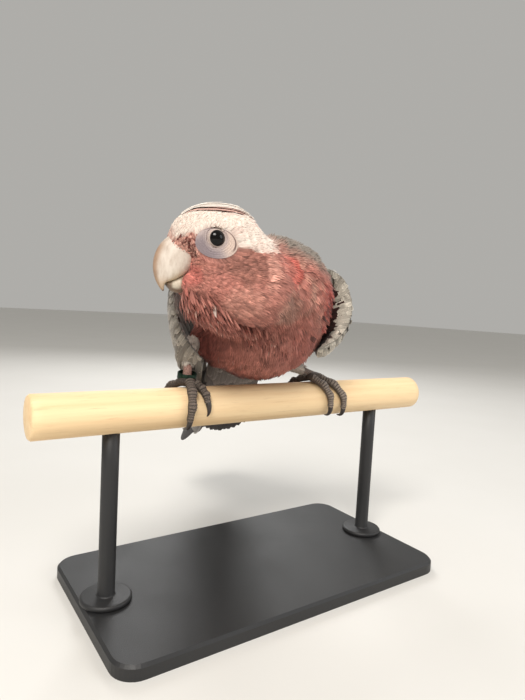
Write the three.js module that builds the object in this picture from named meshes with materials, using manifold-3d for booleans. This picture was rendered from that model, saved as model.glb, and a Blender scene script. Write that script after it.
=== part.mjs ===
// A life-size galah gripping a round wooden perch, on a plain display stand.
//
// Millimetres, +Z up. The origin lies on the floor, at the middle of the stand's underside. The perch runs
// along X above it. The bird's left side is towards +X and its tail towards +Y. Its head is turned to its
// right, so the bill points along -X.

import * as THREE from "three";
import { mergeVertices } from "three/addons/utils/BufferGeometryUtils.js";
import Module from "manifold-3d";

// ---------------------------------------------------------------- driving dimensions

const GAP = 0.3; // between pieces that touch

const PERCH = { length: 300, radius: 12.5, height: 120, chamfer: 1.2, sides: 24 };
const BASE = { length: 240, width: 130, thickness: 8, corner: 14, bevel: 1.5 };
const ROD = { radius: 5, flange: 15, flangeHeight: 3, spacing: 210, intoPerch: 9, sides: 12 };

// Headings turn from -Y towards -X, and pitches rise from level, both in degrees.
const TRUNK = { at: [-6, 0, 62], heading: 20, pitch: 28, halfWidth: 43.5, cell: 7.8 };
const HEAD = { at: [-96.5, -31.6, 82.9], heading: 97.5, pitch: 0, cell: 5.4 };
const TAIL = { at: [8, 46, 36], heading: 24, pitch: 38, length: 158, halfWidth: 24, feathers: 12 };
const WINGS = {
  left: { side: 1, at: [44, -36, 68], tip: [64, 160, -35], rim: 9, half: 22.5, wrap: 98, hug: 11, nose: 2 },
  right: { side: -1, at: [-75, 0, 56], tip: [24, 160, -58], rim: 5, half: 26, wrap: 38, hug: 11, nose: 7 },
};

const BILL = { radius: 19.2, depth: 18, halfWidth: 8.4, tipWidth: 1, baseAngle: 80, tipAngle: -45 };
const EYE = { radius: 5.2, forward: -28.6, up: 15.8, out: 12.9 };
const TOE = { tipRadius: 2.3, claw: 1.8, sides: 6 };
const RING = { outer: 6, inner: 5.1, height: 4.2, tilt: 10 };

// ---------------------------------------------------------------- frames and fields

const vector = (x, y, z) => new THREE.Vector3(x, y, z);
const radians = THREE.MathUtils.degToRad;
const lerp = THREE.MathUtils.lerp;
const clamp = THREE.MathUtils.clamp;

// A point given from the perch's middle.
const atPerch = ([x, y, z]) => vector(x, y, z + PERCH.height);

// A place on the bird: its own forward, left and up directions about a point given from the perch's axis.
function place({ at, heading, pitch }) {
  const [h, p] = [radians(heading), radians(pitch)];
  const origin = atPerch(at);
  const forward = vector(-Math.sin(h) * Math.cos(p), -Math.cos(h) * Math.cos(p), Math.sin(p));
  const left = vector(Math.cos(h), -Math.sin(h), 0);
  const up = forward.clone().cross(left);
  return {
    origin,
    forward,
    left,
    up,
    point: (f, l, u) =>
      origin.clone().addScaledVector(forward, f).addScaledVector(left, l).addScaledVector(up, u),
    local(p) {
      const d = p.clone().sub(origin);
      return [d.dot(forward), d.dot(left), d.dot(up)];
    },
  };
}

const trunkPlace = place(TRUNK);
const headPlace = place(HEAD);
const tailPlace = place(TAIL);

// Signed distances, negative inside.
function ellipsoid(where, center, radii) {
  return (p) => {
    const q = where.local(p).map((value, axis) => value - center[axis]);
    const k0 = Math.hypot(...q.map((value, axis) => value / radii[axis]));
    const k1 = Math.hypot(...q.map((value, axis) => value / radii[axis] ** 2));
    return k1 < 1e-9 ? -Math.min(...radii) : (k0 * (k0 - 1)) / k1;
  };
}

function roundCone(a, b, radiusA, radiusB) {
  const axis = b.clone().sub(a);
  return (p) => {
    const t = clamp(p.clone().sub(a).dot(axis) / axis.lengthSq(), 0, 1);
    return p.distanceTo(a.clone().addScaledVector(axis, t)) - lerp(radiusA, radiusB, t);
  };
}

function blend(softness, ...fields) {
  return (p) =>
    fields
      .map((field) => field(p))
      .reduce((a, b) => {
        const h = clamp(0.5 + (0.5 * (b - a)) / softness, 0, 1);
        return lerp(b, a, h) - softness * h * (1 - h);
      });
}

const nearest = (...fields) => (p) => Math.min(...fields.map((field) => field(p)));

function slope(field, p) {
  const step = 0.05;
  const along = (dx, dy, dz) =>
    field(p.clone().add(vector(dx, dy, dz))) - field(p.clone().sub(vector(dx, dy, dz)));
  return vector(along(step, 0, 0), along(0, step, 0), along(0, 0, step)).normalize();
}

// Moves a point straight out of a field until it clears it by the margin.
function clearOf(field, p, margin) {
  const q = p.clone();
  for (let turn = 0; turn < 6; turn++) {
    const short = margin - field(q);
    if (short <= 0) break;
    q.addScaledVector(slope(field, q), short);
  }
  return q;
}

// ---------------------------------------------------------------- making solids

const wasm = await Module();
wasm.setup();

function solidOf(geometry) {
  const bare = new THREE.BufferGeometry();
  bare.setAttribute("position", geometry.getAttribute("position"));
  if (geometry.index) bare.setIndex(geometry.index);
  const merged = mergeVertices(bare, 1e-4);
  return new wasm.Manifold(
    new wasm.Mesh({
      numProp: 3,
      vertProperties: merged.getAttribute("position").array,
      triVerts: new Uint32Array(merged.index.array),
    }),
  );
}

// What is left of a cut solid without the slivers that the cut frees.
const mainPiece = (solid) => solid.decompose().reduce((a, b) => (a.volume() > b.volume() ? a : b));

function geometryOf(solid) {
  const mesh = solid.getMesh();
  const geometry = new THREE.BufferGeometry();
  geometry.setAttribute("position", new THREE.BufferAttribute(new Float32Array(mesh.vertProperties), 3));
  geometry.setIndex([...mesh.triVerts]);
  geometry.computeVertexNormals();
  return geometry;
}

// A closed skin over rings of points, each ring with the same even count. The ends are closed by strips from
// each point of the ring's first half to its opposite in the second. The faces point outwards whichever way
// round the rings run.
function loft(rings) {
  const count = rings[0].length;
  const points = rings.flat();
  const last = points.length - count;
  const faces = [];
  for (let row = 0; row < last; row += count)
    for (let i = 0; i < count; i++) {
      const j = (i + 1) % count;
      faces.push(row + i, row + j, row + count + i, row + j, row + count + j, row + count + i);
    }
  for (let i = 0; i < count / 2 - 1; i++) {
    const [a, b, c, d] = [i, i + 1, count - 2 - i, count - 1 - i];
    faces.push(c, b, a, d, c, a, last + a, last + b, last + c, last + a, last + c, last + d);
  }
  let volume = 0;
  for (let i = 0; i < faces.length; i += 3)
    volume += points[faces[i]].dot(points[faces[i + 1]].clone().cross(points[faces[i + 2]]));
  if (volume < 0) faces.reverse();
  const geometry = new THREE.BufferGeometry().setFromPoints(points);
  geometry.setIndex(faces);
  geometry.computeVertexNormals();
  return geometry;
}

// The faceted surface of a field inside a box. Each grid cell that the surface crosses gets one vertex, at
// the middle of the crossings on its edges, and each crossed edge gets the two triangles round it.
function surfaceOf(field, low, high, cell) {
  const [nx, ny, nz] = ["x", "y", "z"].map((axis) => Math.ceil((high[axis] - low[axis]) / cell) + 1);
  const index = ([i, j, k]) => i + nx * (j + ny * k);
  const corner = ([i, j, k]) => vector(low.x + i * cell, low.y + j * cell, low.z + k * cell);
  const steps = [
    [1, 0, 0],
    [0, 1, 0],
    [0, 0, 1],
  ];
  const cells = [];
  for (let k = 0; k < nz; k++)
    for (let j = 0; j < ny; j++)
      for (let i = 0; i < nx; i++) cells.push([i, j, k]);
  const values = new Float32Array(cells.map((at) => field(corner(at))));
  const sum = (a, b, times = 1) => a.map((value, axis) => value + times * b[axis]);
  const crosses = (a, b) => values[index(a)] < 0 !== values[index(b)] < 0;
  const points = [];
  const vertexOf = new Map();
  const vertex = (home) => {
    const key = index(home);
    if (vertexOf.has(key)) return vertexOf.get(key);
    const crossings = [];
    steps.forEach((step, axis) => {
      const [u, v] = [steps[(axis + 1) % 3], steps[(axis + 2) % 3]];
      for (const offset of [[0, 0, 0], u, v, sum(u, v)]) {
        const [a, b] = [sum(home, offset), sum(sum(home, offset), step)];
        const [from, to] = [values[index(a)], values[index(b)]];
        if (crosses(a, b)) crossings.push(corner(a).lerp(corner(b), from / (from - to)));
      }
    });
    const p = crossings.reduce((total, q) => total.add(q), vector(0, 0, 0)).divideScalar(crossings.length);
    for (let turn = 0; turn < 2; turn++) p.addScaledVector(slope(field, p), -field(p));
    vertexOf.set(key, points.push(p) - 1);
    return vertexOf.get(key);
  };
  const faces = [];
  const limits = [nx, ny, nz];
  for (const at of cells)
    steps.forEach((step, axis) => {
      const next = sum(at, step);
      if (next[axis] >= limits[axis] || !crosses(at, next)) return;
      const [u, v] = [steps[(axis + 1) % 3], steps[(axis + 2) % 3]];
      const quad = [at, sum(at, u, -1), sum(sum(at, u, -1), v, -1), sum(at, v, -1)].map(vertex);
      if (values[index(at)] >= 0) quad.reverse();
      faces.push(quad[0], quad[1], quad[2], quad[0], quad[2], quad[3]);
    });
  const geometry = new THREE.BufferGeometry().setFromPoints(points);
  geometry.setIndex(faces);
  return geometry;
}

// The half of space on the far side of a plane, as a large block.
function halfSpace(point, normal) {
  const size = 600;
  const block = new THREE.BoxGeometry(size, size, size);
  block.translate(0, 0, size / 2);
  block.applyQuaternion(new THREE.Quaternion().setFromUnitVectors(vector(0, 0, 1), normal));
  block.translate(point.x, point.y, point.z);
  return solidOf(block);
}

const group = new THREE.Group();

function add(name, geometry, color, roughness, metalness = 0) {
  const mesh = new THREE.Mesh(geometry, new THREE.MeshStandardMaterial({ color, roughness, metalness }));
  mesh.name = name;
  group.add(mesh);
  return mesh;
}

// ---------------------------------------------------------------- the plumage's outline

const trunkField = blend(
  4.5,
  ellipsoid(trunkPlace, [-6, 1, -5], [51, TRUNK.halfWidth, 37]),
  ellipsoid(trunkPlace, [24, 0, 4], [33, 40, 32]),
  ellipsoid(trunkPlace, [-28, 2, -4], [36, 33, 29]),
  ellipsoid(trunkPlace, [8, 18, 13], [32, 26, 28]),
  ellipsoid(trunkPlace, [6, -17, 10], [32, 26, 26]),
  ellipsoid(trunkPlace, [-6, -24, -18], [24, 19, 20]),
);

const headField = blend(
  5,
  ellipsoid(headPlace, [-26, 0, 13.5], [19, 16, 19.6]),
  ellipsoid(headPlace, [-41, 0, 9.5], [25, 19.5, 25.5]),
  ellipsoid(headPlace, [-53, 0, 0], [22, 20.5, 23]),
  ellipsoid(headPlace, [-42, 0, -6], [24, 22, 24]),
  ellipsoid(headPlace, [-28.5, 0, -11], [13, 12, 12.5]),
);

const neckField = blend(
  8,
  roundCone(headPlace.point(-60, 0, -8), trunkPlace.point(24, 0, 5), 23, 30),
  roundCone(headPlace.point(-62, -3, -7), trunkPlace.point(8, 15, 9), 18, 30),
);

const bodyField = blend(7, trunkField, neckField, headField);

// The neck lies between two slanting cuts.
const headCut = { point: headPlace.point(-58, 0, -4), normal: vector(-0.87, 0.02, 0.49).normalize() };
const trunkCut = { point: atPerch([-14, -24, 84]), normal: vector(-0.62, -0.3, 0.72).normalize() };

const beyond = (cut, offset) => halfSpace(cut.point.clone().addScaledVector(cut.normal, offset), cut.normal);

// The plumage on one side of the head's cut, with some to spare for the cut itself.
function bodyPart(side, low, high, cell, grow = 0) {
  const spare = 1.3 * cell;
  const field = (p) => {
    const behind = p.clone().sub(headCut.point).dot(headCut.normal) * -side;
    return Math.max(bodyField(p) - grow, behind - spare);
  };
  return solidOf(surfaceOf(field, vector(...low), vector(...high), cell));
}

// ---------------------------------------------------------------- bill and eyes

// A ring of the upper bill's section at an angle about the culmen's centre.
function billRing(share, grow) {
  const angle = radians(lerp(BILL.baseAngle, BILL.tipAngle, share));
  const depth = BILL.depth - 5 * share - 12.2 * THREE.MathUtils.smoothstep(share, 0.7, 0.97) + 2 * grow;
  const halfWidth = lerp(BILL.halfWidth, BILL.tipWidth, share ** 3) + grow;
  const sides = 12;
  return Array.from({ length: sides }, (_, i) => {
    const turn = (2 * Math.PI * i) / sides;
    const radial = BILL.radius + grow - (depth * (1 - Math.cos(turn))) / 2;
    const across = halfWidth * Math.sin(turn) * (1 + 0.18 * Math.cos(turn + Math.PI));
    return headPlace.point(-BILL.radius + radial * Math.cos(angle), across, 0.7 + radial * Math.sin(angle));
  });
}

function upperBill(grow = 0) {
  const rings = 12;
  return loft(Array.from({ length: rings }, (_, i) => billRing(i / (rings - 1), grow)));
}

// The lower bill is a scoop that closes under the upper one.
function lowerBill(grow = 0) {
  const rings = 8;
  const sides = 12;
  return loft(
    Array.from({ length: rings }, (_, i) => {
      const share = i / (rings - 1);
      const forward = lerp(-21 - grow, -7.4 + grow, share);
      const middle = lerp(-5, -8.4, share);
      const height = lerp(5.6, 2.2, share ** 2) + grow;
      const halfWidth = lerp(7.4, 3.2, share ** 1.6) + grow;
      return Array.from({ length: sides }, (_, j) => {
        const turn = (-2 * Math.PI * j) / sides;
        return headPlace.point(forward, halfWidth * Math.cos(turn), middle + height * Math.sin(turn));
      });
    }),
  );
}

// The plumage is hollowed where the bill comes out of it.
function billHollow() {
  const hollow = new THREE.SphereGeometry(1, 24, 12).scale(15.5, 22, 11.5);
  hollow.applyMatrix4(new THREE.Matrix4().makeBasis(headPlace.forward, headPlace.left, headPlace.up));
  const center = headPlace.point(-6, 0, 5);
  return hollow.translate(center.x, center.y, center.z);
}

const eyeAt = (side) => headPlace.point(EYE.forward, side * EYE.out, EYE.up);

function ball(center, radius) {
  const sphere = new THREE.SphereGeometry(radius, 12, 6);
  sphere.rotateX(Math.PI / 2);
  return sphere.translate(center.x, center.y, center.z);
}

// ---------------------------------------------------------------- legs and feet

// A point round the perch: its place along it, the angle from the top towards the bird's front, and the
// height above the wood.
function onPerch(x, degrees, height) {
  const reach = PERCH.radius + height;
  const angle = radians(degrees);
  return vector(x, -reach * Math.sin(angle), PERCH.height + reach * Math.cos(angle));
}

const LEGS = {
  left: {
    hip: [28, 14, 50],
    heel: [33, 6, 23],
    ankle: [45, 0, 17],
    toes: [
      { start: 44, end: 33, from: -8, to: -52, radius: 2.5, claw: 34 },
      { start: 42, end: 50.5, from: 12, to: 104, radius: 2.7, claw: 40 },
      { start: 48, end: 63.5, from: 6, to: 112, radius: 2.9, claw: 40 },
      { start: 49, end: 61, from: -14, to: -96, radius: 2.8, claw: 38 },
    ],
  },
  right: {
    hip: [-36, 18, 48],
    heel: [-53, 5, 31],
    ankle: [-56, 1, 17],
    toes: [
      { start: -53, end: -45, from: -14, to: -72, radius: 2.5, claw: 34 },
      { start: -52, end: -48.5, from: 16, to: 72, radius: 2.6, claw: 34 },
      { start: -56, end: -60, from: 12, to: 112, radius: 3, claw: 40 },
      { start: -58, end: -66, from: -12, to: -92, radius: 2.8, claw: 38 },
    ],
  },
};

function tube(points, radii, sides) {
  const curve = new THREE.CatmullRomCurve3(points);
  const steps = points.length - 1;
  return loft(
    points.map((point, i) => {
      const along = curve.getTangent(i / steps);
      const across = vector(1, 0, 0).cross(along).normalize();
      const over = along.clone().cross(across);
      return Array.from({ length: sides }, (_, j) => {
        const turn = (2 * Math.PI * j) / sides;
        return point
          .clone()
          .addScaledVector(across, radii[i] * Math.cos(turn))
          .addScaledVector(over, radii[i] * Math.sin(turn));
      });
    }),
  );
}

// One toe from the sole's middle over the wood. Its joints swell a little.
function toe({ start, end, from, to, radius }) {
  const steps = 5;
  const shares = Array.from({ length: steps + 1 }, (_, i) => i / steps);
  const radii = shares.map((t) => lerp(radius, TOE.tipRadius, t) * (1 + 0.07 * Math.cos(6 * Math.PI * t)));
  const splay = (t) => lerp(start, end, Math.sin((Math.PI / 2) * t));
  const points = shares.map((t, i) => onPerch(splay(t), lerp(from, to, t), radii[i] + GAP));
  return tube(points, radii, TOE.sides);
}

// A claw carries the toe's line on, arched off the wood and back to it.
function claw({ start, end, from, to, claw: sweep }) {
  const steps = 3;
  const onward = Math.sign(to - from);
  const begin = to + onward * 2.4;
  const drift = ((end - start) / Math.abs(to - from)) * 0.3;
  const shares = Array.from({ length: steps + 1 }, (_, i) => i / steps);
  const radii = shares.map((t) => lerp(TOE.claw, 0.35, t ** 1.3));
  const points = shares.map((t, i) =>
    onPerch(
      end + drift * sweep * t,
      begin + onward * sweep * t,
      radii[i] + 0.5 + 1.1 * Math.sin(Math.PI * t) + 0.6 * (1 - t),
    ),
  );
  return tube(points, radii, TOE.sides);
}

function wood(radius) {
  const length = PERCH.length / 2;
  const chamfer = PERCH.chamfer;
  const profile = [
    [0, -length],
    [radius - chamfer, -length],
    [radius, -length + chamfer],
    [radius, length - chamfer],
    [radius - chamfer, length],
    [0, length],
  ].map(([x, y]) => new THREE.Vector2(x, y));
  const dowel = new THREE.LatheGeometry(profile, PERCH.sides);
  dowel.rotateZ(-Math.PI / 2);
  return dowel.translate(0, 0, PERCH.height);
}

// The bare shank, from the heel to the sole.
function shank({ heel, ankle }, grow = 0) {
  const radii = [3.2, 2.7, 3.1].map((radius) => radius + grow);
  return tube([0, 0.5, 1].map((t) => atPerch(heel).lerp(atPerch(ankle), t)), radii, 8);
}

// The feathered thigh, from inside the belly down to the heel.
function thigh({ hip, heel }, grow = 0) {
  const radii = [10, 8.4, 6.2, 4.4].map((radius) => radius + grow);
  const steps = radii.length - 1;
  return tube(radii.map((_, i) => atPerch(hip).lerp(atPerch(heel), i / steps)), radii, 10);
}

const legField = nearest(
  ...Object.values(LEGS).map(({ hip, heel }) => roundCone(atPerch(hip), atPerch(heel), 10, 4.6)),
  ...Object.values(LEGS).map(({ heel, ankle }) => roundCone(atPerch(heel), atPerch(ankle), 4, 7)),
);

// ---------------------------------------------------------------- tail and wings

// The tail starts as a thick wedge of coverts and flattens into a fan of long feathers.
function tailRing(share, grow) {
  const columns = 12;
  const halfWidth = lerp(20, TAIL.halfWidth, share ** 1.2) - 1.5 * Math.sin(Math.PI * share) + grow;
  const thick = 0.9 + 13 * (1 - clamp(share / 0.62, 0, 1)) ** 1.7 + 2 * grow;
  const ring = [];
  for (const face of [1, -1])
    for (let i = 0; i <= columns; i++) {
      const across = face * lerp(1, -1, i / columns);
      const notch = 2.2 * (1 - Math.abs(Math.sin((Math.PI * TAIL.feathers * across) / 4)));
      const back = share * (TAIL.length - 34 * across ** 2 - notch);
      const roof = -4 * across ** 2 * share;
      const bulge = thick * Math.sqrt(1 - 0.93 * across ** 2) * (face > 0 ? 0.5 : 0.7);
      ring.push(tailPlace.point(-back, across * halfWidth, face * bulge + roof));
    }
  return ring;
}

const tailRows = 9;
const tailLoft = (grow = 0) =>
  loft(Array.from({ length: tailRows }, (_, i) => tailRing(i / (tailRows - 1), grow)));

const tailField = (p) => {
  const [f, l, u] = tailPlace.local(p);
  const share = clamp(-f / TAIL.length, 0, 1);
  const thick = 1.5 + 9 * (1 - clamp(share / 0.62, 0, 1)) ** 1.7;
  const q = [Math.max(0, Math.abs(l) - 22 - 4 * share), Math.max(0, Math.abs(u + 2 * share) - thick)];
  return Math.hypot(...q) - 0.5;
};

const perchField = roundCone(atPerch([-90, 0, 0]), atPerch([90, 0, 0]), 19, 19);
const wingObstacles = nearest(bodyField, legField, tailField, perchField);

// A folded wing is a shell rolled round the body's side. Its front rim runs from the shoulder down to the
// flank, and it narrows back to the tip of the longest flight feather.
function wingLoft({ side, at, tip, rim, half: frontHalf, wrap: frontWrap, hug, nose }) {
  const [front, end] = [atPerch(at), atPerch(tip)];
  const back = end.clone().sub(front);
  const length = back.length();
  back.normalize();
  const out = vector(side, 0, 0).addScaledVector(back, -side * back.x).normalize();
  const rise = side > 0 ? out.clone().cross(back) : back.clone().cross(out);
  const columns = 9;
  const rows = 11;
  const across = Array.from({ length: columns + 1 }, (_, i) => lerp(-1, 1, i / columns));
  const rings = Array.from({ length: rows + 1 }, (_, row) => {
    const share = row / rows;
    const narrow = clamp((share - 0.35) / 0.65, 0, 1);
    const full = lerp(frontHalf, 31, Math.sin(Math.PI * clamp(share / 0.7, 0, 1)));
    const half = full * (1 - 0.62 * narrow ** 1.5);
    const wrap = radians(lerp(frontWrap, 24, Math.sqrt(share)));
    const roll = radians(52 * share ** 1.6);
    const thick = lerp(rim, 1.5, Math.sqrt(share));
    const radius = half / Math.sin(Math.min(wrap, Math.PI / 2));
    const place = (t, inset) => {
      const tipLine = length - 30 * ((t + 0.75) / 1.75) ** 2 - 2 * Math.abs(Math.cos(3.5 * Math.PI * t));
      const rimLine = -2 - 15 * t;
      const [a, r] = [wrap * t, radius - inset];
      const tucked = hug * Math.sin(Math.PI * share) + nose * (1 - clamp(share / 0.17, 0, 1)) ** 2;
      const sideways = r * Math.cos(a) - radius - tucked;
      const upward = r * Math.sin(a);
      return front
        .clone()
        .addScaledVector(back, lerp(rimLine, tipLine, share))
        .addScaledVector(out, sideways * Math.cos(roll) - upward * Math.sin(roll))
        .addScaledVector(rise, upward * Math.cos(roll) + sideways * Math.sin(roll));
    };
    const edge = (t) => Math.sqrt(1 - 0.85 * t ** 2);
    const inner = across.map((t) => clearOf(wingObstacles, place(t, (thick * edge(t)) / 2), 1.4));
    const outer = across.map((t) =>
      clearOf(wingObstacles, place(t, (-thick * edge(t)) / 2), 1.4 + Math.max(1, thick * edge(t))),
    );
    return [...outer, ...inner.reverse()];
  });
  return loft(rings);
}

// The crest lies folded back along the crown, its tip just clear of the nape.
function crestLoft() {
  const rows = 9;
  const columns = 4;
  const across = Array.from({ length: columns + 1 }, (_, i) => lerp(-1, 1, i / columns));
  return loft(
    Array.from({ length: rows + 1 }, (_, row) => {
      const share = row / rows;
      const forward = lerp(-20, -57, share);
      const half = 7.5 * Math.sin(Math.PI * clamp(share * 0.9 + 0.08, 0, 1)) ** 0.8;
      const lift = 0.6 + 2 * share ** 4;
      const thick = 0.7 + 1.4 * Math.sin(Math.PI * share) * (1 - 0.4 * share);
      const onHead = (t, height) => clearOf(bodyField, headPlace.point(forward, half * t, 26), height);
      const upper = across.map((t) => onHead(t, lift + thick * Math.sqrt(1 - 0.8 * t ** 2) + 0.2));
      const lower = across.map((t) => onHead(t, lift)).reverse();
      return [...upper, ...lower];
    }),
  );
}

// ---------------------------------------------------------------- the bird's pieces

const upper = solidOf(upperBill());
const lower = solidOf(lowerBill()).subtract(solidOf(upperBill(GAP)));
const grownBill = solidOf(upperBill(GAP)).add(solidOf(lowerBill(GAP)));
const eyes = { left: eyeAt(1), right: eyeAt(-1) };
const sockets = Object.values(eyes).map((center) => solidOf(ball(center, EYE.radius + GAP)));

const headBlock = bodyPart(1, [-118, -100, 150], [40, 30, 255], HEAD.cell);
const headSolid = [solidOf(billHollow()), grownBill, ...sockets].reduce(
  (solid, cutter) => solid.subtract(cutter),
  headBlock.intersect(beyond(headCut, GAP / 2)),
);
const bodyBlock = (grow) => bodyPart(-1, [-110, -100, 115], [80, 100, 255], TRUNK.cell, grow);
const bodySolid = bodyBlock(0).subtract(beyond(headCut, -GAP / 2));
const neckSolid = bodySolid.intersect(beyond(trunkCut, GAP / 2));
const grownLegs = Object.values(LEGS).map((leg) => solidOf(thigh(leg, GAP)).add(solidOf(shank(leg, GAP))));
const tailSolid = solidOf(tailLoft());
const trunkSolid = grownLegs.reduce(
  (solid, leg) => solid.subtract(leg),
  bodySolid
    .subtract(beyond(trunkCut, -GAP / 2))
    .subtract(halfSpace(tailPlace.point(GAP, 0, 0), tailPlace.forward.clone().negate())),
);

add("head", geometryOf(mainPiece(headSolid)), 0xe3b8a8, 0.9);
add("crest", crestLoft(), 0xf3e6da, 0.9);
add("bill_upper", geometryOf(upper), 0xd9ccb4, 0.45);
add("bill_lower", geometryOf(lower), 0xb9ab95, 0.5);
add("eye_left", ball(eyes.left, EYE.radius), 0x0b0908, 0.08);
add("eye_right", ball(eyes.right, EYE.radius), 0x0b0908, 0.08);
add("neck", geometryOf(neckSolid), 0xc4877b, 0.9);
add("trunk", geometryOf(trunkSolid), 0xbb6f68, 0.9);
add("tail", geometryOf(tailSolid), 0x6d6f72, 0.8);
const wingCutters = [bodyBlock(GAP), solidOf(tailLoft(GAP)), ...grownLegs];
const wingSolid = (wing) =>
  mainPiece(wingCutters.reduce((solid, cutter) => solid.subtract(cutter), solidOf(wingLoft(wing))));
add("wing_left", geometryOf(wingSolid(WINGS.left)), 0x9c9a98, 0.85);
add("wing_right", geometryOf(wingSolid(WINGS.right)), 0x8f8f8c, 0.85);

// The ring lies loose on the right foot, which is let in round it.
function ringLathe(grow = 0) {
  const [inner, outer, half] = [RING.inner - grow, RING.outer + grow, RING.height / 2 + grow];
  const profile = [
    [inner, -half],
    [outer, -half],
    [outer, half],
    [inner, half],
    [inner, -half],
  ].map(([x, y]) => new THREE.Vector2(x, y));
  const lathe = new THREE.LatheGeometry(profile, 14).rotateX(Math.PI / 2 + radians(RING.tilt));
  const at = atPerch(LEGS.right.ankle).lerp(atPerch(LEGS.right.heel), 0.18);
  return lathe.translate(at.x, at.y, at.z);
}

for (const [side, leg] of Object.entries(LEGS)) {
  const [heel, ankle] = [atPerch(leg.heel), atPerch(leg.ankle)];
  const ankleCut = { point: ankle.clone().lerp(heel, 0.36), normal: heel.clone().sub(ankle).normalize() };
  const sole = new THREE.SphereGeometry(1, 10, 6);
  sole.scale(6.2, 5.6, 3.5).translate(ankle.x, ankle.y - 0.5, ankle.z - 0.6);
  const stub = solidOf(shank(leg)).subtract(beyond(ankleCut, -GAP / 2));
  const foot = leg.toes.reduce((solid, one) => solid.add(solidOf(toe(one))), solidOf(sole).add(stub));
  const whole = solidOf(thigh(leg)).add(solidOf(shank(leg))).intersect(beyond(ankleCut, GAP / 2));
  add(`leg_${side}`, geometryOf(whole), 0xa9a39a, 0.85);
  add(`foot_${side}`, geometryOf(mainPiece(foot.subtract(solidOf(ringLathe(GAP))))), 0x6a5f5b, 0.7);
  leg.toes.forEach((one, i) => add(`claw_${side}_${i + 1}`, claw(one), 0x1d1a19, 0.4));
}

// ---------------------------------------------------------------- perch and stand

add("leg_ring", ringLathe(), 0x1d3b2c, 0.45, 0.2);

const rodTop = PERCH.height - PERCH.radius + ROD.intoPerch;
const rodSides = { left: 1, right: -1 };

function rod(side, radius, foot) {
  const profile = [
    [0, BASE.thickness + GAP],
    [foot, BASE.thickness + GAP],
    [foot, BASE.thickness + GAP + ROD.flangeHeight - 1],
    [foot - 1, BASE.thickness + GAP + ROD.flangeHeight],
    [radius, BASE.thickness + GAP + ROD.flangeHeight],
    [radius, rodTop + radius - ROD.radius],
    [0, rodTop + radius - ROD.radius],
  ].map(([x, y]) => new THREE.Vector2(x, y));
  const lathe = new THREE.LatheGeometry(profile, ROD.sides);
  return lathe.rotateX(Math.PI / 2).translate((side * ROD.spacing) / 2, 0, 0);
}

const drilled = Object.values(rodSides).reduce(
  (solid, side) => solid.subtract(solidOf(rod(side, ROD.radius + GAP, ROD.flange))),
  solidOf(wood(PERCH.radius)),
);
add("perch", geometryOf(drilled), 0xe0b98a, 0.6);
for (const [name, side] of Object.entries(rodSides))
  add(`stand_rod_${name}`, rod(side, ROD.radius, ROD.flange), 0x1c1c1d, 0.55, 0.4);

const outline = new THREE.Shape();
const [halfLength, halfWidth, round] = [BASE.length / 2, BASE.width / 2, BASE.corner];
outline.moveTo(halfLength - round, -halfWidth);
outline.absarc(halfLength - round, -halfWidth + round, round, -Math.PI / 2, 0);
outline.absarc(halfLength - round, halfWidth - round, round, 0, Math.PI / 2);
outline.absarc(-halfLength + round, halfWidth - round, round, Math.PI / 2, Math.PI);
outline.absarc(-halfLength + round, -halfWidth + round, round, Math.PI, 1.5 * Math.PI);
const base = new THREE.ExtrudeGeometry(outline, {
  depth: BASE.thickness - BASE.bevel,
  bevelEnabled: true,
  bevelThickness: BASE.bevel,
  bevelSize: BASE.bevel,
  bevelOffset: -BASE.bevel,
  bevelSegments: 1,
  curveSegments: 4,
});
const flatFloor = halfSpace(vector(0, 0, 0), vector(0, 0, 1));
add("stand_base", geometryOf(solidOf(base).intersect(flatFloor)), 0x1c1c1d, 0.55, 0.4);

export default group;
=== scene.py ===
# A life-size galah that grips a round wooden perch, held up by a plain display stand.
#
# Shapes are worked out in millimetres in the model's own frame: X along the perch to the bird's left, Y to
# its tail, Z up from the floor. They become metres as each mesh is made.

import math

import bpy
import numpy as np
from mathutils import Matrix, Vector
from mathutils.bvhtree import BVHTree
from mathutils.kdtree import KDTree


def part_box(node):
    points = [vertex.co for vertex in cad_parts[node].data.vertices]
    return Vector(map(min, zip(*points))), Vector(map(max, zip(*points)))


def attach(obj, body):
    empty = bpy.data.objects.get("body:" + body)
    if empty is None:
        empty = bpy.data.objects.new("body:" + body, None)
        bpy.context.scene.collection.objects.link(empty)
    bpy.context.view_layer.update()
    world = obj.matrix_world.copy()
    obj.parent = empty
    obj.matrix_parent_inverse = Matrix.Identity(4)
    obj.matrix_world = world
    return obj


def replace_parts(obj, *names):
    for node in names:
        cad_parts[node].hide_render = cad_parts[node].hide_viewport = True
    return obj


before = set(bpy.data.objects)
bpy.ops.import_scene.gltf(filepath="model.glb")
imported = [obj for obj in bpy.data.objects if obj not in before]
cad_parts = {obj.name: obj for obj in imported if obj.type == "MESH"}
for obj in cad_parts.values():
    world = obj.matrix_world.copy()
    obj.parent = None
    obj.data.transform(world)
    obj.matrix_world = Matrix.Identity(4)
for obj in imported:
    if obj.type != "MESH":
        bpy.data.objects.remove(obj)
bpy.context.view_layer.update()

rng = np.random.default_rng(20)


# ---------------------------------------------------------------- the skin
# One unbroken skin of head, neck, body and thighs. It lies inside the outline by the depth of the plumage,
# and its colours are those of the feathers that grow from it, with painted shade under the chest, on the
# bird's right flank and where the left wing stands off the body.

MM = 0.001


def place(at, heading, pitch):
    """A point with the forward, left and up directions there. Headings turn from -Y towards -X."""
    h, p = math.radians(heading), math.radians(pitch)
    forward = np.array([-math.sin(h) * math.cos(p), -math.cos(h) * math.cos(p), math.sin(p)])
    left = np.array([math.cos(h), -math.sin(h), 0.0])
    return np.array(at, float), np.array([forward, left, np.cross(forward, left)])


def into(where, points):
    return (points - where[0]) @ where[1].T


def out_of(where, *local):
    return where[0] + np.stack(np.broadcast_arrays(*local), -1) @ where[1]


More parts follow.
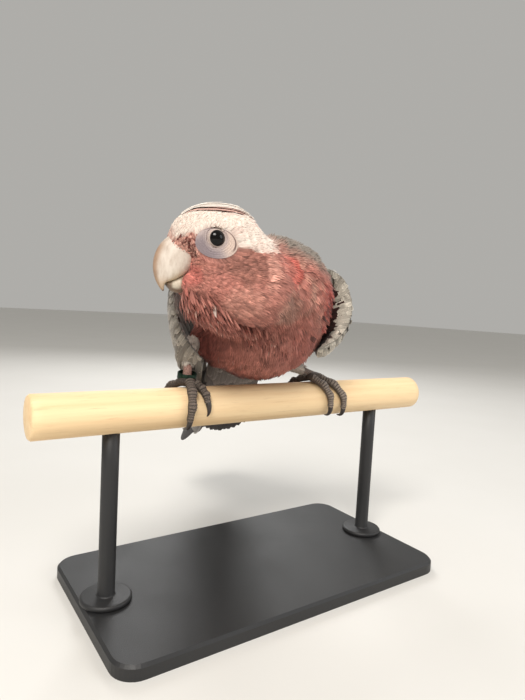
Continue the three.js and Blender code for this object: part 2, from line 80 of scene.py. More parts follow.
HEAD = place((-96.5, -31.6, 202.9), 97.5, 0)
TRUNK = place((-6, 0, 182), 20, 28)
GAPE = out_of(HEAD, -4.0, 0.0, 3.0)


def unit(v):
    return v / np.maximum(np.linalg.norm(v, axis=-1, keepdims=True), 1e-9)


def smoothstep(low, high, x):
    t = np.clip((x - low) / (high - low), 0, 1)
    return t * t * (3 - 2 * t)


def coat_depth(points):
    """How far the plumage stands off the skin: least round the bill, most on breast and belly."""
    away = np.linalg.norm(points - GAPE, axis=-1)
    return 0.7 + 2.3 * smoothstep(22, 75, away)


def tone(code):
    """Linear colour from a hexadecimal one."""
    srgb = np.array([int(code[i:i + 2], 16) for i in (0, 2, 4)]) / 255
    return np.where(srgb < 0.04045, srgb / 12.92, ((srgb + 0.055) / 1.055) ** 2.4)


def ripple(points, size, seed=0):
    """A smooth wandering value between -1 and 1."""
    turn = np.random.default_rng(seed)
    waves = turn.normal(size=(7, 3)) / size
    return np.sin(points @ waves.T * 2.2 + turn.uniform(0, 6.3, 7)).sum(-1) / 4


# Each marking is an ellipsoid in the head's or the body's own directions: its centre, its radii, how much
# of it shows, and its colour. Three of the body's are painted shade, not plumage: a band under the chest's
# overhang, the bird's right flank under wing and chest, and the gap between the left wing and the body.
HEAD_MARKS = [
    ((-44, 17, 3), (13, 12, 10.5), 1.0, "a06c60"),
    ((-60, 20, 1), (4.5, 12, 11), 0.7, "d9a091"),
    ((-17, 8, -4), (7, 9, 6.5), 0.7, "c76f66"),
    ((-14, 11, 10), (8, 10, 6.5), 0.85, "dba698"),
    ((-8, 0, 17), (3.5, 9, 2.8), 0.8, "b5796e"),
    ((-33, 18, -9), (10, 12, 7), 0.5, "c98377"),
    ((-45, 20, -18), (12, 12, 10), 0.6, "d69b8c"),
    ((-24, 12, -17), (9, 10, 6), 0.55, "8a5348"),
    ((-18, 6, -21), (7, 9, 5), 0.7, "74423a"),
]
BODY_MARKS_AND_SHADE = [
    ((52, 5, -24), (14, 14, 9), 0.55, "9d8072"),
    ((66, -30, -22), (11, 12, 8), 0.5, "c98074"),
    # painted shade: a darker band under the overhang of the chest, over the belly
    ((27, -12, -35), (13, 40, 7), 0.7, "80554b"),
    # painted shade: dark maroon on the bird's right flank, in the shade of its wing and chest
    ((0, -44, -20), (36, 20, 24), 0.8, "7d423b"),
    ((8, 26, -34), (26, 22, 12), 0.5, "a8655b"),
    ((12, 0, -40), (26, 18, 12), 0.8, "b4766a"),
    ((61, 2, -3), (8, 9, 10), 0.95, "d2665a"),
    ((37, 35, 0), (13, 10, 13), 0.85, "b35f55"),
    # painted shade: dark maroon in the gap between the left wing and the body
    ((28, 40, -4), (14, 8, 8), 0.7, "5f2a26"),
]


def paint(colours, mask, code):
    return colours + (tone(code) - colours) * np.clip(mask, 0, 1)[..., None]


def plain(code, *counts):
    """One colour for all the points of an array of that many rows and columns."""
    return np.broadcast_to(tone(code), (*counts, 3))


def markings_and_shade(points):
    """The plumage's colour at each point, and painted shade under the chest and beside the wings."""
    head, body = into(HEAD, points), into(TRUNK, points)
    head[..., 1] = np.abs(head[..., 1])
    f, l, u = np.moveaxis(head, -1, 0)
    bf, bl, bu = np.moveaxis(body, -1, 0)
    drift = ripple(points, 9, 3)
    colours = plain("b8776b", *points.shape[:-1])
    colours = paint(colours, 0.6 * smoothstep(0.1, 0.9, ripple(points, 7, 5)), "ab8a7b")
    colours = paint(colours, 0.6 * smoothstep(0.2, 0.8, ripple(points, 4, 21)), "d79d8b")
    colours = paint(colours, 0.5 * smoothstep(0.3, 0.9, ripple(points, 3, 31)), "75493f")
    colours = paint(colours, smoothstep(58, 34, bf) * smoothstep(-10, -26, bu), "a2655a")
    for centre, radii, share, code in BODY_MARKS_AND_SHADE:
        near = np.linalg.norm((body - centre) / radii, axis=-1) + 0.15 * drift
        colours = paint(colours, share * smoothstep(1.25, 0.7, near), code)
    grey = smoothstep(-2, 12, bu + 0.2 * (40 - bf) - 0.06 * np.abs(bl) + 2.5 * drift)
    colours = paint(colours, grey * smoothstep(76, 62, bf - 0.15 * bl), "887f75")
    colours = paint(colours, smoothstep(-26, -46, bf), "8b837b")
    near_head = smoothstep(82, 66, -f + 0.5 * np.maximum(0, -u) + 3 * drift)
    colours = paint(colours, near_head * smoothstep(-36, -22, u), "b97c70")
    for centre, radii, share, code in HEAD_MARKS:
        near = np.linalg.norm((head - centre) / radii, axis=-1) + 0.12 * drift
        colours = paint(colours, share * smoothstep(1.2, 0.75, near), code)
    cap_line = np.interp(-f, [0, 10, 19, 28, 36, 42, 58, 72], [15, 15.5, 18, 21, 13.5, 12, 10, 17])
    cap = smoothstep(-1.6, 1.6, u - cap_line + 1.2 * drift)
    cap = cap * smoothstep(78, 66, -f) * smoothstep(7, 10.5, -f)
    colours = paint(colours, cap, "efdfd2")
    colours = paint(colours, 0.5 * cap * smoothstep(0.2, 0.9, ripple(points, 6, 8)), "e3c3b6")
    beside = np.minimum(np.abs(points[..., 0] - 37), np.abs(points[..., 0] + 50))
    return paint(colours, smoothstep(152, 145, points[..., 2]) * smoothstep(14, 9, beside), "a39a90")


def mesh_of(name, points, faces):
    """A mesh from points in millimetres and faces that all have the same count of corners."""
    mesh = bpy.data.meshes.new(name)
    mesh.vertices.add(len(points))
    mesh.vertices.foreach_set("co", (points * MM).astype(np.float32).ravel())
    mesh.loops.add(faces.size)
    mesh.loops.foreach_set("vertex_index", faces.astype(np.int32).ravel())
    mesh.polygons.add(len(faces))
    mesh.polygons.foreach_set("loop_start", np.arange(0, faces.size, faces.shape[1], dtype=np.int32))
    mesh.polygons.foreach_set("use_smooth", np.ones(len(faces), bool))
    mesh.update(calc_edges=True)
    return mesh


def piece_of(name, mesh, material):
    """A new piece of the model, which moves with its one body."""
    piece = bpy.data.objects.new(name, mesh)
    bpy.context.scene.collection.objects.link(piece)
    mesh.materials.append(material)
    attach(piece, "root")
    return piece


def give(mesh, name, values):
    """Stores a colour or a number at each point of a mesh."""
    if values.ndim == 1:
        mesh.attributes.new(name, "FLOAT", "POINT").data.foreach_set("value", values.astype(np.float32))
        return
    rgba = np.ones((len(values), 4), np.float32)
    rgba[:, :3] = values
    mesh.attributes.new(name, "FLOAT_COLOR", "POINT").data.foreach_set("color", rgba.ravel())


def read(mesh, what="co"):
    values = np.empty(len(mesh.vertices) * 3, np.float32)
    mesh.vertices.foreach_get(what, values)
    return values.reshape(-1, 3).astype(float)


def move_to(mesh, points):
    """Puts a mesh's points at new places in millimetres."""
    mesh.vertices.foreach_set("co", (points * MM).astype(np.float32).ravel())
    mesh.update()


def triangles_of(mesh):
    """Corner numbers of a mesh's triangles, and the loops that they use."""
    mesh.calc_loop_triangles()
    corners = np.empty(len(mesh.loop_triangles) * 3, np.int32)
    mesh.loop_triangles.foreach_get("vertices", corners)
    loops = np.empty_like(corners)
    mesh.loop_triangles.foreach_get("loops", loops)
    return corners.reshape(-1, 3), loops.reshape(-1, 3)


def grid_faces(rows, columns, closed):
    """Quads between rows of points, joined round where the rows are closed."""
    i, j = np.meshgrid(np.arange(rows - 1), np.arange(columns if closed else columns - 1), indexing="ij")
    k = (j + 1) % columns
    a, b = i * columns, (i + 1) * columns
    return np.stack([a + j, a + k, b + k, b + j], -1).reshape(-1, 4)


def soup(names):
    """The points in millimetres and the triangles of several CAD nodes together."""
    points, faces, start = [], [], 0
    for name in names:
        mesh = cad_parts[name].data
        corners, _ = triangles_of(mesh)
        points.append(read(mesh) / MM)
        faces.append(corners + start)
        start += len(mesh.vertices)
    return np.concatenate(points), np.concatenate(faces)


class Wire:
    """A shader socket that sums can be written on."""

    def __init__(self, socket):
        self.socket = socket

    def node(self, kind, settings=None, values=None, out=0):
        tree = self.socket.id_data
        made = tree.nodes.new(kind)
        for name, value in (settings or {}).items():
            setattr(made, name, value)
        for name, value in (values or {}).items():
            if isinstance(value, Wire):
                tree.links.new(value.socket, made.inputs[name])
            else:
                made.inputs[name].default_value = value
        return Wire(made.outputs[out])

    def maths(self, operation, *others):
        return self.node("ShaderNodeMath", {"operation": operation}, dict(enumerate(others)))

    def __add__(self, other):
        return self.maths("ADD", self, other)

    __radd__ = __add__

    def __sub__(self, other):
        return self.maths("SUBTRACT", self, other)

    def __rsub__(self, other):
        return self.maths("SUBTRACT", other, self)

    def __mul__(self, other):
        return self.maths("MULTIPLY", self, other)

    __rmul__ = __mul__

    def __pow__(self, other):
        return self.maths("POWER", self, other)

    def size(self):
        return self.maths("ABSOLUTE", self)

    def step(self, low, high):
        """0 below low, 1 above high, and a straight slope between."""
        settings = {"interpolation_type": "LINEAR"}
        values = {"Value": self, "From Min": low, "From Max": high}
        return self.node("ShaderNodeMapRange", settings, values)

    def mix(self, other, share, blend="MIX"):
        settings = {"data_type": "RGBA", "blend_type": blend}
        return self.node("ShaderNodeMix", settings, {0: share, 6: self, 7: other}, out=2)

    def between(self, low, high):
        """A colour from the first code at 0 to the second at 1."""
        return self.node("ShaderNodeMix", {"data_type": "RGBA"}, {0: self, 6: rgb(low), 7: rgb(high)}, out=2)

    def stretched(self, x, y, z):
        return self.node("ShaderNodeVectorMath", {"operation": "MULTIPLY"}, {0: self, 1: (x, y, z)})

    def noise(self, scale, detail=3.0, rough=0.55):
        values = {"Vector": self, "Scale": scale, "Detail": detail, "Roughness": rough}
        return self.node("ShaderNodeTexNoise", {}, values)

    def relief(self, distance):
        """A bump of that depth in metres."""
        return self.node("ShaderNodeBump", {}, {"Distance": distance, "Height": self})

    def feed(self, name, wire):
        """Joins a wire to an input of the node that this socket is on."""
        self.socket.id_data.links.new(wire.socket, self.socket.node.inputs[name])


def finish_of(name, **constants):
    """A new material and the wire of its shader."""
    material = bpy.data.materials.new(name)
    material.use_nodes = True
    shader = material.node_tree.nodes["Principled BSDF"]
    for socket, value in constants.items():
        shader.inputs[socket.replace("_", " ")].default_value = value
    return material, Wire(shader.outputs[0])


def rgb(code):
    return (*tone(code), 1.0)


skin_finish, surface = finish_of("bare_skin", Roughness=0.7)
own = surface.node("ShaderNodeTexCoord", out=3)
tint = surface.node("ShaderNodeAttribute", {"attribute_name": "tint"})
pores = own.noise(1400, 4)
surface.feed("Base Color", tint.mix(rgb("6b3f38"), 0.25 + 0.3 * pores))
surface.feed("Roughness", 0.6 + 0.25 * pores)
surface.feed("Normal", pores.relief(0.0003))

FLESH = ["head", "neck", "trunk", "leg_left", "leg_right"]
VOXEL = 1.25  # fine enough for the face
# The skin goes on in behind the bill: its brow, its two corners and the two cheeks beside the lower half.
SWELLINGS = [
    ((-18, 0, 12.5), (12, 11, 9)),
    ((-26, 0, 3), (10, 13.5, 8.5)),
    ((-20.5, 6, -8), (7.5, 5.5, 7)),
    ((-20.5, -6, -8), (7.5, 5.5, 7)),
]


def ball_of(centre, radii, rings=20, sides=32):
    """Points and triangles of an ellipsoid in the head's directions."""
    rise = np.linspace(0.03, np.pi - 0.03, rings)[:, None]
    turn = np.linspace(0, 2 * np.pi, sides, endpoint=False)
    ball = np.stack([np.sin(rise) * np.cos(turn), np.sin(rise) * np.sin(turn), np.cos(rise) + 0 * turn], -1)
    points = out_of(HEAD, *np.moveaxis(ball * radii + centre, -1, 0)).reshape(-1, 3)
    quads = grid_faces(rings, sides, True)
    ends = [np.arange(sides), np.arange(sides) + (rings - 1) * sides]
    fans = [[(e[0], e[i], e[i + 1]) for i in range(1, sides - 1)] for e in ends]
    return points, np.concatenate([quads[:, [0, 1, 2]], quads[:, [0, 2, 3]], fans[0], fans[1]])


def outward(points, faces):
    """The faces of a closed shape, turned to face out of it."""
    a, b, c = points[faces[:, 0]], points[faces[:, 1]], points[faces[:, 2]]
    return faces if (np.cross(a, b) * c).sum() > 0 else faces[:, ::-1]


hull_points, hull_faces = soup(FLESH)
for centre, radii in SWELLINGS:
    points, faces = ball_of(centre, radii)
    hull_faces = np.concatenate([hull_faces, outward(points, faces) + len(hull_points)])
    hull_points = np.concatenate([hull_points, points])
hull = bpy.data.objects.new("hull", mesh_of("hull", hull_points, hull_faces))
bpy.context.scene.collection.objects.link(hull)
fused = hull.modifiers.new("fused", "REMESH")
fused.mode = "VOXEL"
fused.voxel_size = VOXEL * MM
soft = hull.modifiers.new("soft", "SMOOTH")


def relaxed(iterations):
    """The fused mesh with its steps smoothed away, more with each iteration."""
    soft.iterations = iterations
    bpy.context.view_layer.update()
    return bpy.data.meshes.new_from_object(hull.evaluated_get(bpy.context.evaluated_depsgraph_get()))


crisp, skin_mesh = relaxed(3), relaxed(14)
bpy.data.objects.remove(hull)
skin_points = read(skin_mesh) / MM
on_face = smoothstep(55, 30, np.linalg.norm(skin_points - GAPE, axis=-1))[:, None]
skin_points += (read(crisp) / MM - skin_points) * on_face
move_to(skin_mesh, skin_points)
skin_points -= read(skin_mesh, "normal") * coat_depth(skin_points)[:, None]
skin_mesh.polygons.foreach_set("use_smooth", np.ones(len(skin_mesh.polygons), bool))
move_to(skin_mesh, skin_points)
give(skin_mesh, "tint", markings_and_shade(skin_points))
skin = piece_of("skin", skin_mesh, skin_finish)
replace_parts(skin, *FLESH)

bpy.context.view_layer.objects.active = skin
skin_mesh.uv_layers.new(name="OFBake")
bpy.ops.object.mode_set(mode="EDIT")
bpy.ops.mesh.select_all(action="SELECT")
bpy.ops.uv.smart_project(angle_limit=math.radians(66), island_margin=0.004)
bpy.ops.object.mode_set(mode="OBJECT")


# ---------------------------------------------------------------- the body's feathers
# Small soft feathers rooted in the skin. They lie back from the bill over the head and towards the tail on
# the body, each over the roots of the next, with barbs that part into a ragged tip.

skin_normals = read(skin_mesh, "normal")
skin_corners, skin_loops = triangles_of(skin_mesh)
loop_uv = np.empty(len(skin_mesh.loops) * 2, np.float32)
skin_mesh.uv_layers["OFBake"].data.foreach_get("uv", loop_uv)
skin_uv = loop_uv.reshape(-1, 2)[skin_loops]
skin_tree = BVHTree.FromPolygons(skin_points.tolist(), skin_corners.tolist())


def weights_in(triangles, points):
    """How much each corner of a triangle counts at a point in it."""
    a, b, c = np.moveaxis(triangles, -2, 0)
    areas = [np.cross(q - points, r - points) for q, r in ((b, c), (c, a), (a, b))]
    areas = np.linalg.norm(np.stack(areas, -2), axis=-1)
    return areas / np.maximum(areas.sum(-1, keepdims=True), 1e-9)


def on_skin(points):
    """The nearest places on the skin, with their directions outwards and places on its unwrap."""
    hits = [skin_tree.find_nearest(p) for p in points.tolist()]
    found = np.array([tuple(hit[0]) for hit in hits])
    index = np.array([hit[2] for hit in hits])
    weights = weights_in(skin_points[skin_corners[index]], found)[..., None]
    normals = unit((skin_normals[skin_corners[index]] * weights).sum(1))
    return found, normals, (skin_uv[index] * weights).sum(1)


EYE = {"forward": -28.6, "up": 15.8, "out": 12.9, "radius": 5.2, "opening": 4.0}
EYE_RING = (10.0, 7.3)  # half its length and half its height
RING_DROP = 2.5  # the bare ring's middle lies this far under the eye's


def ring_share(points):
    """0 at the bare ring's middle and 1 at its edge, with the way from it in the head's directions."""
    f, l, u = np.moveaxis(into(HEAD, points), -1, 0)
    away = np.stack([(f - EYE["forward"]) / EYE_RING[0], (u - EYE["up"] + RING_DROP) / EYE_RING[1]], -1)
    share = np.linalg.norm(away, axis=-1)
    return np.where((np.abs(l) > 8) & (share < 3), share, 3), away


def flow(points):
    """The direction in which a feather lies."""
    from_bill = unit(points - GAPE)
    body = into(TRUNK, points)
    sideways = np.clip(body[..., 1:2] / 60, -0.5, 0.5) * TRUNK[1][1]
    to_tail = -TRUNK[1][0] + sideways + np.array([0, 0, -0.35])
    share = smoothstep(48, 100, np.linalg.norm(points - GAPE, axis=-1))[..., None]
    lie = unit((1 - share) * from_bill + share * unit(to_tail))
    down_leg = smoothstep(150, 138, points[..., 2])[..., None]
    lie = (1 - down_leg) * lie + down_leg * np.array([0, -0.3, -1])
    ring, away = ring_share(points)
    push = away[..., :1] * HEAD[1][0] + away[..., 1:] * HEAD[1][2]
    return unit(lie + 1.5 * smoothstep(1.7, 1.0, ring)[..., None] * unit(push))


def scatter(count, spacing, allowed):
    """Even random roots over the skin, no two nearer than the spacing there."""
    corners = skin_points[skin_corners]
    areas = np.linalg.norm(np.cross(corners[:, 1] - corners[:, 0], corners[:, 2] - corners[:, 0]), axis=-1)
    chosen = rng.choice(len(areas), count, p=areas / areas.sum())
    a, b = np.sqrt(rng.random(count)), rng.random(count)
    mix = np.stack([1 - a, a * (1 - b), a * b], -1)[..., None]
    points = (corners[chosen] * mix).sum(1)
    normals = unit((skin_normals[skin_corners[chosen]] * mix).sum(1))
    uv = (skin_uv[chosen] * mix).sum(1)
    keep = allowed(points)
    points, normals, uv = points[keep], normals[keep], uv[keep]
    tree = KDTree(len(points))
    for i, point in enumerate(points.tolist()):
        tree.insert(point, i)
    tree.balance()
    free = np.ones(len(points), bool)
    reach = spacing(points)
    for i, point in enumerate(points.tolist()):
        if free[i]:
            for _, j, _ in tree.find_range(point, reach[i]):
                free[j] = j == i
    return points[free], normals[free], uv[free]


def lay(roots, normals, lengths, rows):
    """Spines that follow the skin from the roots, with the outward direction at each row."""
    spine, out = [roots], [normals]
    step = (lengths / (rows - 1))[:, None]
    for _ in range(rows - 1):
        lie = flow(spine[-1])
        lie = unit(lie - (lie * out[-1]).sum(-1, keepdims=True) * out[-1])
        found, normal, _ = on_skin(spine[-1] + lie * step)
        spine.append(found)
        out.append(normal)
    return np.stack(spine, 1), np.stack(out, 1)


def vanes(spine, out, half, heights, outline, columns, camber=0.15, ragged=0.3, shares=None):
    """Feathers over spines: rows of points across each, and a fringe of points past the last row.

    half is each feather's half width, heights its rows' heights off the spine, and outline its width at
    each row but the last. Returns the points, the triangles and each point's place across and along."""
    count, rows = spine.shape[:2]
    along = unit(np.gradient(spine, axis=1))
    side = unit(np.cross(out, along))
    across = np.linspace(-1, 1, columns)
    body = rows - 1
    reach = (half[:, None, None] * outline[None, :, None] * across)[..., None]
    raised = heights[:, :body, None] - camber * half[:, None, None] * across**2
    points = spine[:, :body, None] + side[:, :body, None] * reach + out[:, :body, None] * raised[..., None]
    gaps = (across[1:] + across[:-1]) / 2
    past = 1 - ragged * rng.random((count, columns - 1, 1))
    tips = spine[:, body - 1, None] * (1 - past) + spine[:, body, None] * past
    tips = tips + side[:, body, None] * (half[:, None] * gaps * outline[-1] * 0.8)[..., None]
    tips = tips + out[:, body, None] * heights[:, body, None, None]
    points = np.concatenate([points.reshape(count, -1, 3), tips], 1)
    shares = np.linspace(0, 1, rows) if shares is None else shares
    s = np.repeat(shares, [columns] * body + [columns - 1])
    t = np.concatenate([np.tile(across, body), gaps])
    faces = []
    for row in range(body - 1):
        for j in range(columns - 1):
            a, b = row * columns + j, row * columns + j + 1
            faces += [(a, b, b + columns), (a, b + columns, a + columns)]
    last = (body - 1) * columns
    faces += [(last + j, last + j + 1, last + columns + j) for j in range(columns - 1)]
    size = points.shape[1]
    faces = np.array(faces)[None] + (np.arange(count) * size)[:, None, None]
    return points, faces.reshape(-1, 3), t, s


def coat_piece(name, made, tints, uv, material, fade=0.25, tip=0.0):
    """A piece of plumage. Each feather's bake patch is at its root's place on the unwrap."""
    points, faces, t, s = made
    count, size = points.shape[:2]
    mesh = mesh_of(name, points.reshape(-1, 3), faces)
    shade = (1 - fade * smoothstep(0.75, 0.1, s)) * (1 - tip * smoothstep(0.55, 0.95, s))
    give(mesh, "tint", (tints[:, None] * shade[None, :, None]).reshape(-1, 3))
    give(mesh, "luck", np.repeat(rng.random(count), size))
    patch = uv[:, None] + np.stack([t * 0.5, s], -1)[None] * 0.003
    for layer, values in (("OFBake", patch), ("vane", np.broadcast_to(np.stack([t, s], -1), patch.shape))):
        flat = values.reshape(-1, 2)[faces.ravel()].astype(np.float32)
        mesh.uv_layers.new(name=layer).data.foreach_set("uv", flat.ravel())
    return piece_of(name, mesh, material)


def feather_finish(name, streaks, edge, relief=0.00012, roughness=0.72, gloom=0.5, sheen=0.2):
    """Barbs slant from the shaft to the edges, and the edge is of another lightness."""
    material, surface = finish_of(name, Roughness=roughness, Sheen_Weight=sheen, Sheen_Roughness=0.4)
    surface.socket.node.inputs["Specular IOR Level"].default_value = 0.25
    where = surface.node("ShaderNodeUVMap", {"uv_map": "vane"})
    split = surface.node("ShaderNodeSeparateXYZ", {}, {0: where})
    t, s = split, Wire(split.socket.node.outputs[1])
    luck = surface.node("ShaderNodeAttribute", {"attribute_name": "luck"}, {}, out=2)
    tint = surface.node("ShaderNodeAttribute", {"attribute_name": "tint"})
    barb = surface.node("ShaderNodeCombineXYZ", {}, {0: t * streaks + luck * 40, 1: s * 2.5, 2: luck * 90})
    strands = barb.noise(1.0, 2, 0.6)
    rim = (t.size() ** 3).maths("MAXIMUM", t.size() ** 3, (s ** 6)).step(0.35, 0.95)
    shaded = tint.mix((0.05, 0.02, 0.018, 1), gloom * strands.step(0.62, 0.3))
    lit = shaded.mix((1.5, 1.5, 1.5, 1), strands.step(0.55, 0.8) * 0.8, "MULTIPLY")
    surface.feed("Base Color", lit.mix((3, 3, 3, 1), rim * edge, "MULTIPLY"))
    surface.feed("Roughness", roughness + 0.2 * strands - 0.1)
    surface.feed("Normal", strands.relief(relief))
    return material


downy = feather_finish("soft_feathers", 6.0, 0.1, gloom=0.4)
facial = feather_finish("face_feathers", 3.0, 0.05, gloom=0.22)


def varied(colours, amount=0.1):
    """Each feather a little lighter or darker than its neighbours."""
    spread = np.reshape(amount, (-1, 1)) * rng.normal(size=(len(colours), 1))
    return np.clip(colours * (1 + spread), 0.004, 1)


def face_share(points):
    """1 on the face and 0 from the neck on."""
    return smoothstep(62, 30, np.linalg.norm(points - GAPE, axis=-1))


SHANK_TOP = 137.5
FACE_EDGE = 0.12  # the share of the face at which the head's coat ends


def coated(points):
    """Off the bare ring, off the hollow that the bill comes out of, and above the shanks."""
    ring, _ = ring_share(points)
    from_hollow = np.linalg.norm((into(HEAD, points) - (-9, 0, 0)) / (9, 6.5, 13), axis=-1)
    return (ring > 1.0) & (from_hollow > 1) & (points[:, 2] > SHANK_TOP)


def root_gap(points):
    """The least distance between two roots, closer on the face."""
    return 1.4 - 0.72 * face_share(points)


roots, normals, root_uv = scatter(150000, root_gap, coated)
face = face_share(roots)
jitter = np.clip(rng.normal(1, 0.14, len(roots)), 0.6, 1.5)
lengths = (14.5 - 8.6 * face) * jitter
halves = (2.7 - 2.0 * face) * np.clip(rng.normal(1, 0.15, len(roots)), 0.5, 1.5)
lores = np.linalg.norm((into(HEAD, roots) * (1, 0, 1) - (-14, 0, 10)) / (6.5, 1, 6), axis=-1)
halves[lores < 1] *= 0.7
lengths[lores < 1] *= 0.5
depth = coat_depth(roots)
spine, out = lay(roots, normals, lengths, 4)
lumps = 1 + (0.35 - 0.25 * face) * ripple(roots, 4.5, 11) + rng.normal(0, 0.16, len(roots))
heights = (depth * np.clip(lumps, 0.5, 1.6))[:, None] * np.array([-0.1, 0.4, 0.75, 1.05])
tints = markings_and_shade(spine[:, 2])
tints[:, 2] *= np.where(tints[:, 0] > 1.35 * tints[:, 1], 0.97, 1)
rosy = smoothstep(1.2, 1.6, tints[:, 0] / tints[:, 1])
tints = varied(tints, 0.06 + 0.14 * rosy)
speckled = rng.random(len(roots)) < 0.28 * smoothstep(1.15, 0.6, lores)
tints[speckled] = tone("7c443d")
before = into(TRUNK, roots)[:, 0] > 18
regions = [
    ("coat_head", face > FACE_EDGE, "plumage_head", facial),
    ("coat_breast", (face <= FACE_EDGE) & before, "plumage_breast", downy),
    ("coat_belly", (face <= FACE_EDGE) & ~before, "plumage_breast", downy),
]
for name, here, slot, finish in regions:
    outline = np.array([0.35, 1.0, 0.85])
    made = vanes(spine[here], out[here], halves[here], heights[here], outline, 4, 0.25, ragged=0.5)
    coat_piece(name, made, tints[here], root_uv[here], finish)


# ---------------------------------------------------------------- loose tufts at the fold
# Longer barbed feathers, rooted in the skin where the bent neck folds over the breast and the shoulder
# meets the wing. They hang clear of the coat, and a few thin hairs stand along the belly's crease.


def tufts_along(name, path, count, spread, push, lengths, halves, codes, chances):
    """Loose tufts rooted near a path over the skin and pushed off the coat's own lie."""
    path = np.array(path, float)
    share = rng.random(count) * (len(path) - 1)
    knot = np.minimum(share.astype(int), len(path) - 2)
    roots = path[knot] + (path[knot + 1] - path[knot]) * (share - knot)[:, None]
    roots, out, root_uv = on_skin(roots + rng.normal(0, spread, (count, 3)))
    wander = 0.16 * rng.normal(size=(count, 3))
    hang = unit(0.6 * flow(roots) + 0.28 * out + np.array(push) + wander)
    reach = rng.uniform(*lengths, count)
    rows = np.linspace(0, 1, 5)[:, None]
    droop = 0.25 * flow(roots)[:, None] * rows**2
    spine = roots[:, None] + reach[:, None, None] * (hang[:, None] * rows + droop)
    heights = rng.uniform(0.5, 1.8, (count, 1)) * np.array([0.0, 0.8, 1.1, 1.0, 0.7])
    picked = np.array([tone(code) for code in codes])[rng.choice(len(codes), count, p=chances)]
    tints = varied(picked + (markings_and_shade(roots) - picked) * 0.45, 0.2)
    made = vanes(spine, np.repeat(out[:, None], 5, 1), rng.uniform(*halves, count), heights,
                 np.array([0.3, 0.9, 1.0, 0.6]), 4, 0.3, 0.7)
    coat_piece(name, made, tints, root_uv, downy)


ROSES = ("c68172", "a65f52", "b47062", "dcb3a3", "6d3830", "efe4d8")
# The darkest coral is painted shade where the wing stands off the shoulder; the others are the shoulder's own
# salmon-pink.
CORALS = ("b04c42", "8a3a33", "4f211e", "c8594d")
fold = [(-79, -36, 188), (-76, -42, 184), (-66, -44, 178), (-58, -39, 173), (-44, -36, 170),
        (-33, -31, 168), (-8, -38, 162)]
shoulder = [(15, -38, 216), (19, -41, 206), (20, -43, 196), (20, -41, 186), (22, -37, 176)]
crease = [(-52, -4, 160), (-44, -10, 154), (-30, -16, 150), (-14, -22, 148)]
tufts_along("coat_fold", fold, 1500, 3.2, (0, 0, -0.45), (4, 9), (0.45, 0.95),
            ROSES, (0.24, 0.24, 0.2, 0.06, 0.253, 0.007))
tufts_along("coat_shoulder", shoulder, 600, 2.6, (0.4, 0.25, -0.25), (5, 10), (0.8, 1.6),
            CORALS, (0.3, 0.3, 0.25, 0.15))
tufts_along("coat_hairs", crease, 90, 3.5, (0.5, 0, -0.2), (4, 8), (0.12, 0.25),
            ("dcb0a2", "c9897b"), (0.5, 0.5))


# ---------------------------------------------------------------- the bare ring and the eye
# A wrinkled ring of bare grey skin round a dark wet eye. Its inner edge is a pale raised lid that grips the
# ball, and its outer edge lies on the skin under the first feathers.

ring_finish, surface = finish_of("eye_ring_skin", Roughness=0.5)
own = surface.node("ShaderNodeTexCoord", out=3)
tint = surface.node("ShaderNodeAttribute", {"attribute_name": "tint"})
grain = own.noise(1800, 5, 0.6)
surface.feed("Base Color", tint.mix(rgb("5c4c4e"), grain.step(0.35, 0.75) * 0.4))
surface.feed("Roughness", 0.4 + 0.3 * grain)
surface.feed("Normal", grain.relief(0.00025))

eye_finish, surface = finish_of("wet_eye", Roughness=0.08, Specular_IOR_Level=0.25)
own = surface.node("ShaderNodeTexCoord", out=3)
iris = own.noise(900, 2)
surface.feed("Base Color", iris.between("040303", "0c0806"))
surface.feed("Roughness", 0.06 + 0.05 * iris)


def skin_out(f, u, side):
    """How far out the skin lies on one side of the head."""
    far = out_of(HEAD, f, side * 40.0, u)
    inward = Vector(-side * HEAD[1][1])
    hits = [skin_tree.ray_cast(p, inward)[0] for p in far.reshape(-1, 3).tolist()]
    found = np.array([tuple(hit) if hit else (np.nan,) * 3 for hit in hits]).reshape(far.shape)
    return side * into(HEAD, found)[..., 1]


share, _ = ring_share(skin_points)
sideways = np.sign(into(HEAD, skin_points)[:, 1:2]) * HEAD[1][1]
move_to(skin_mesh, skin_points - sideways * 2.4 * smoothstep(1.0, 0.8, share)[:, None])

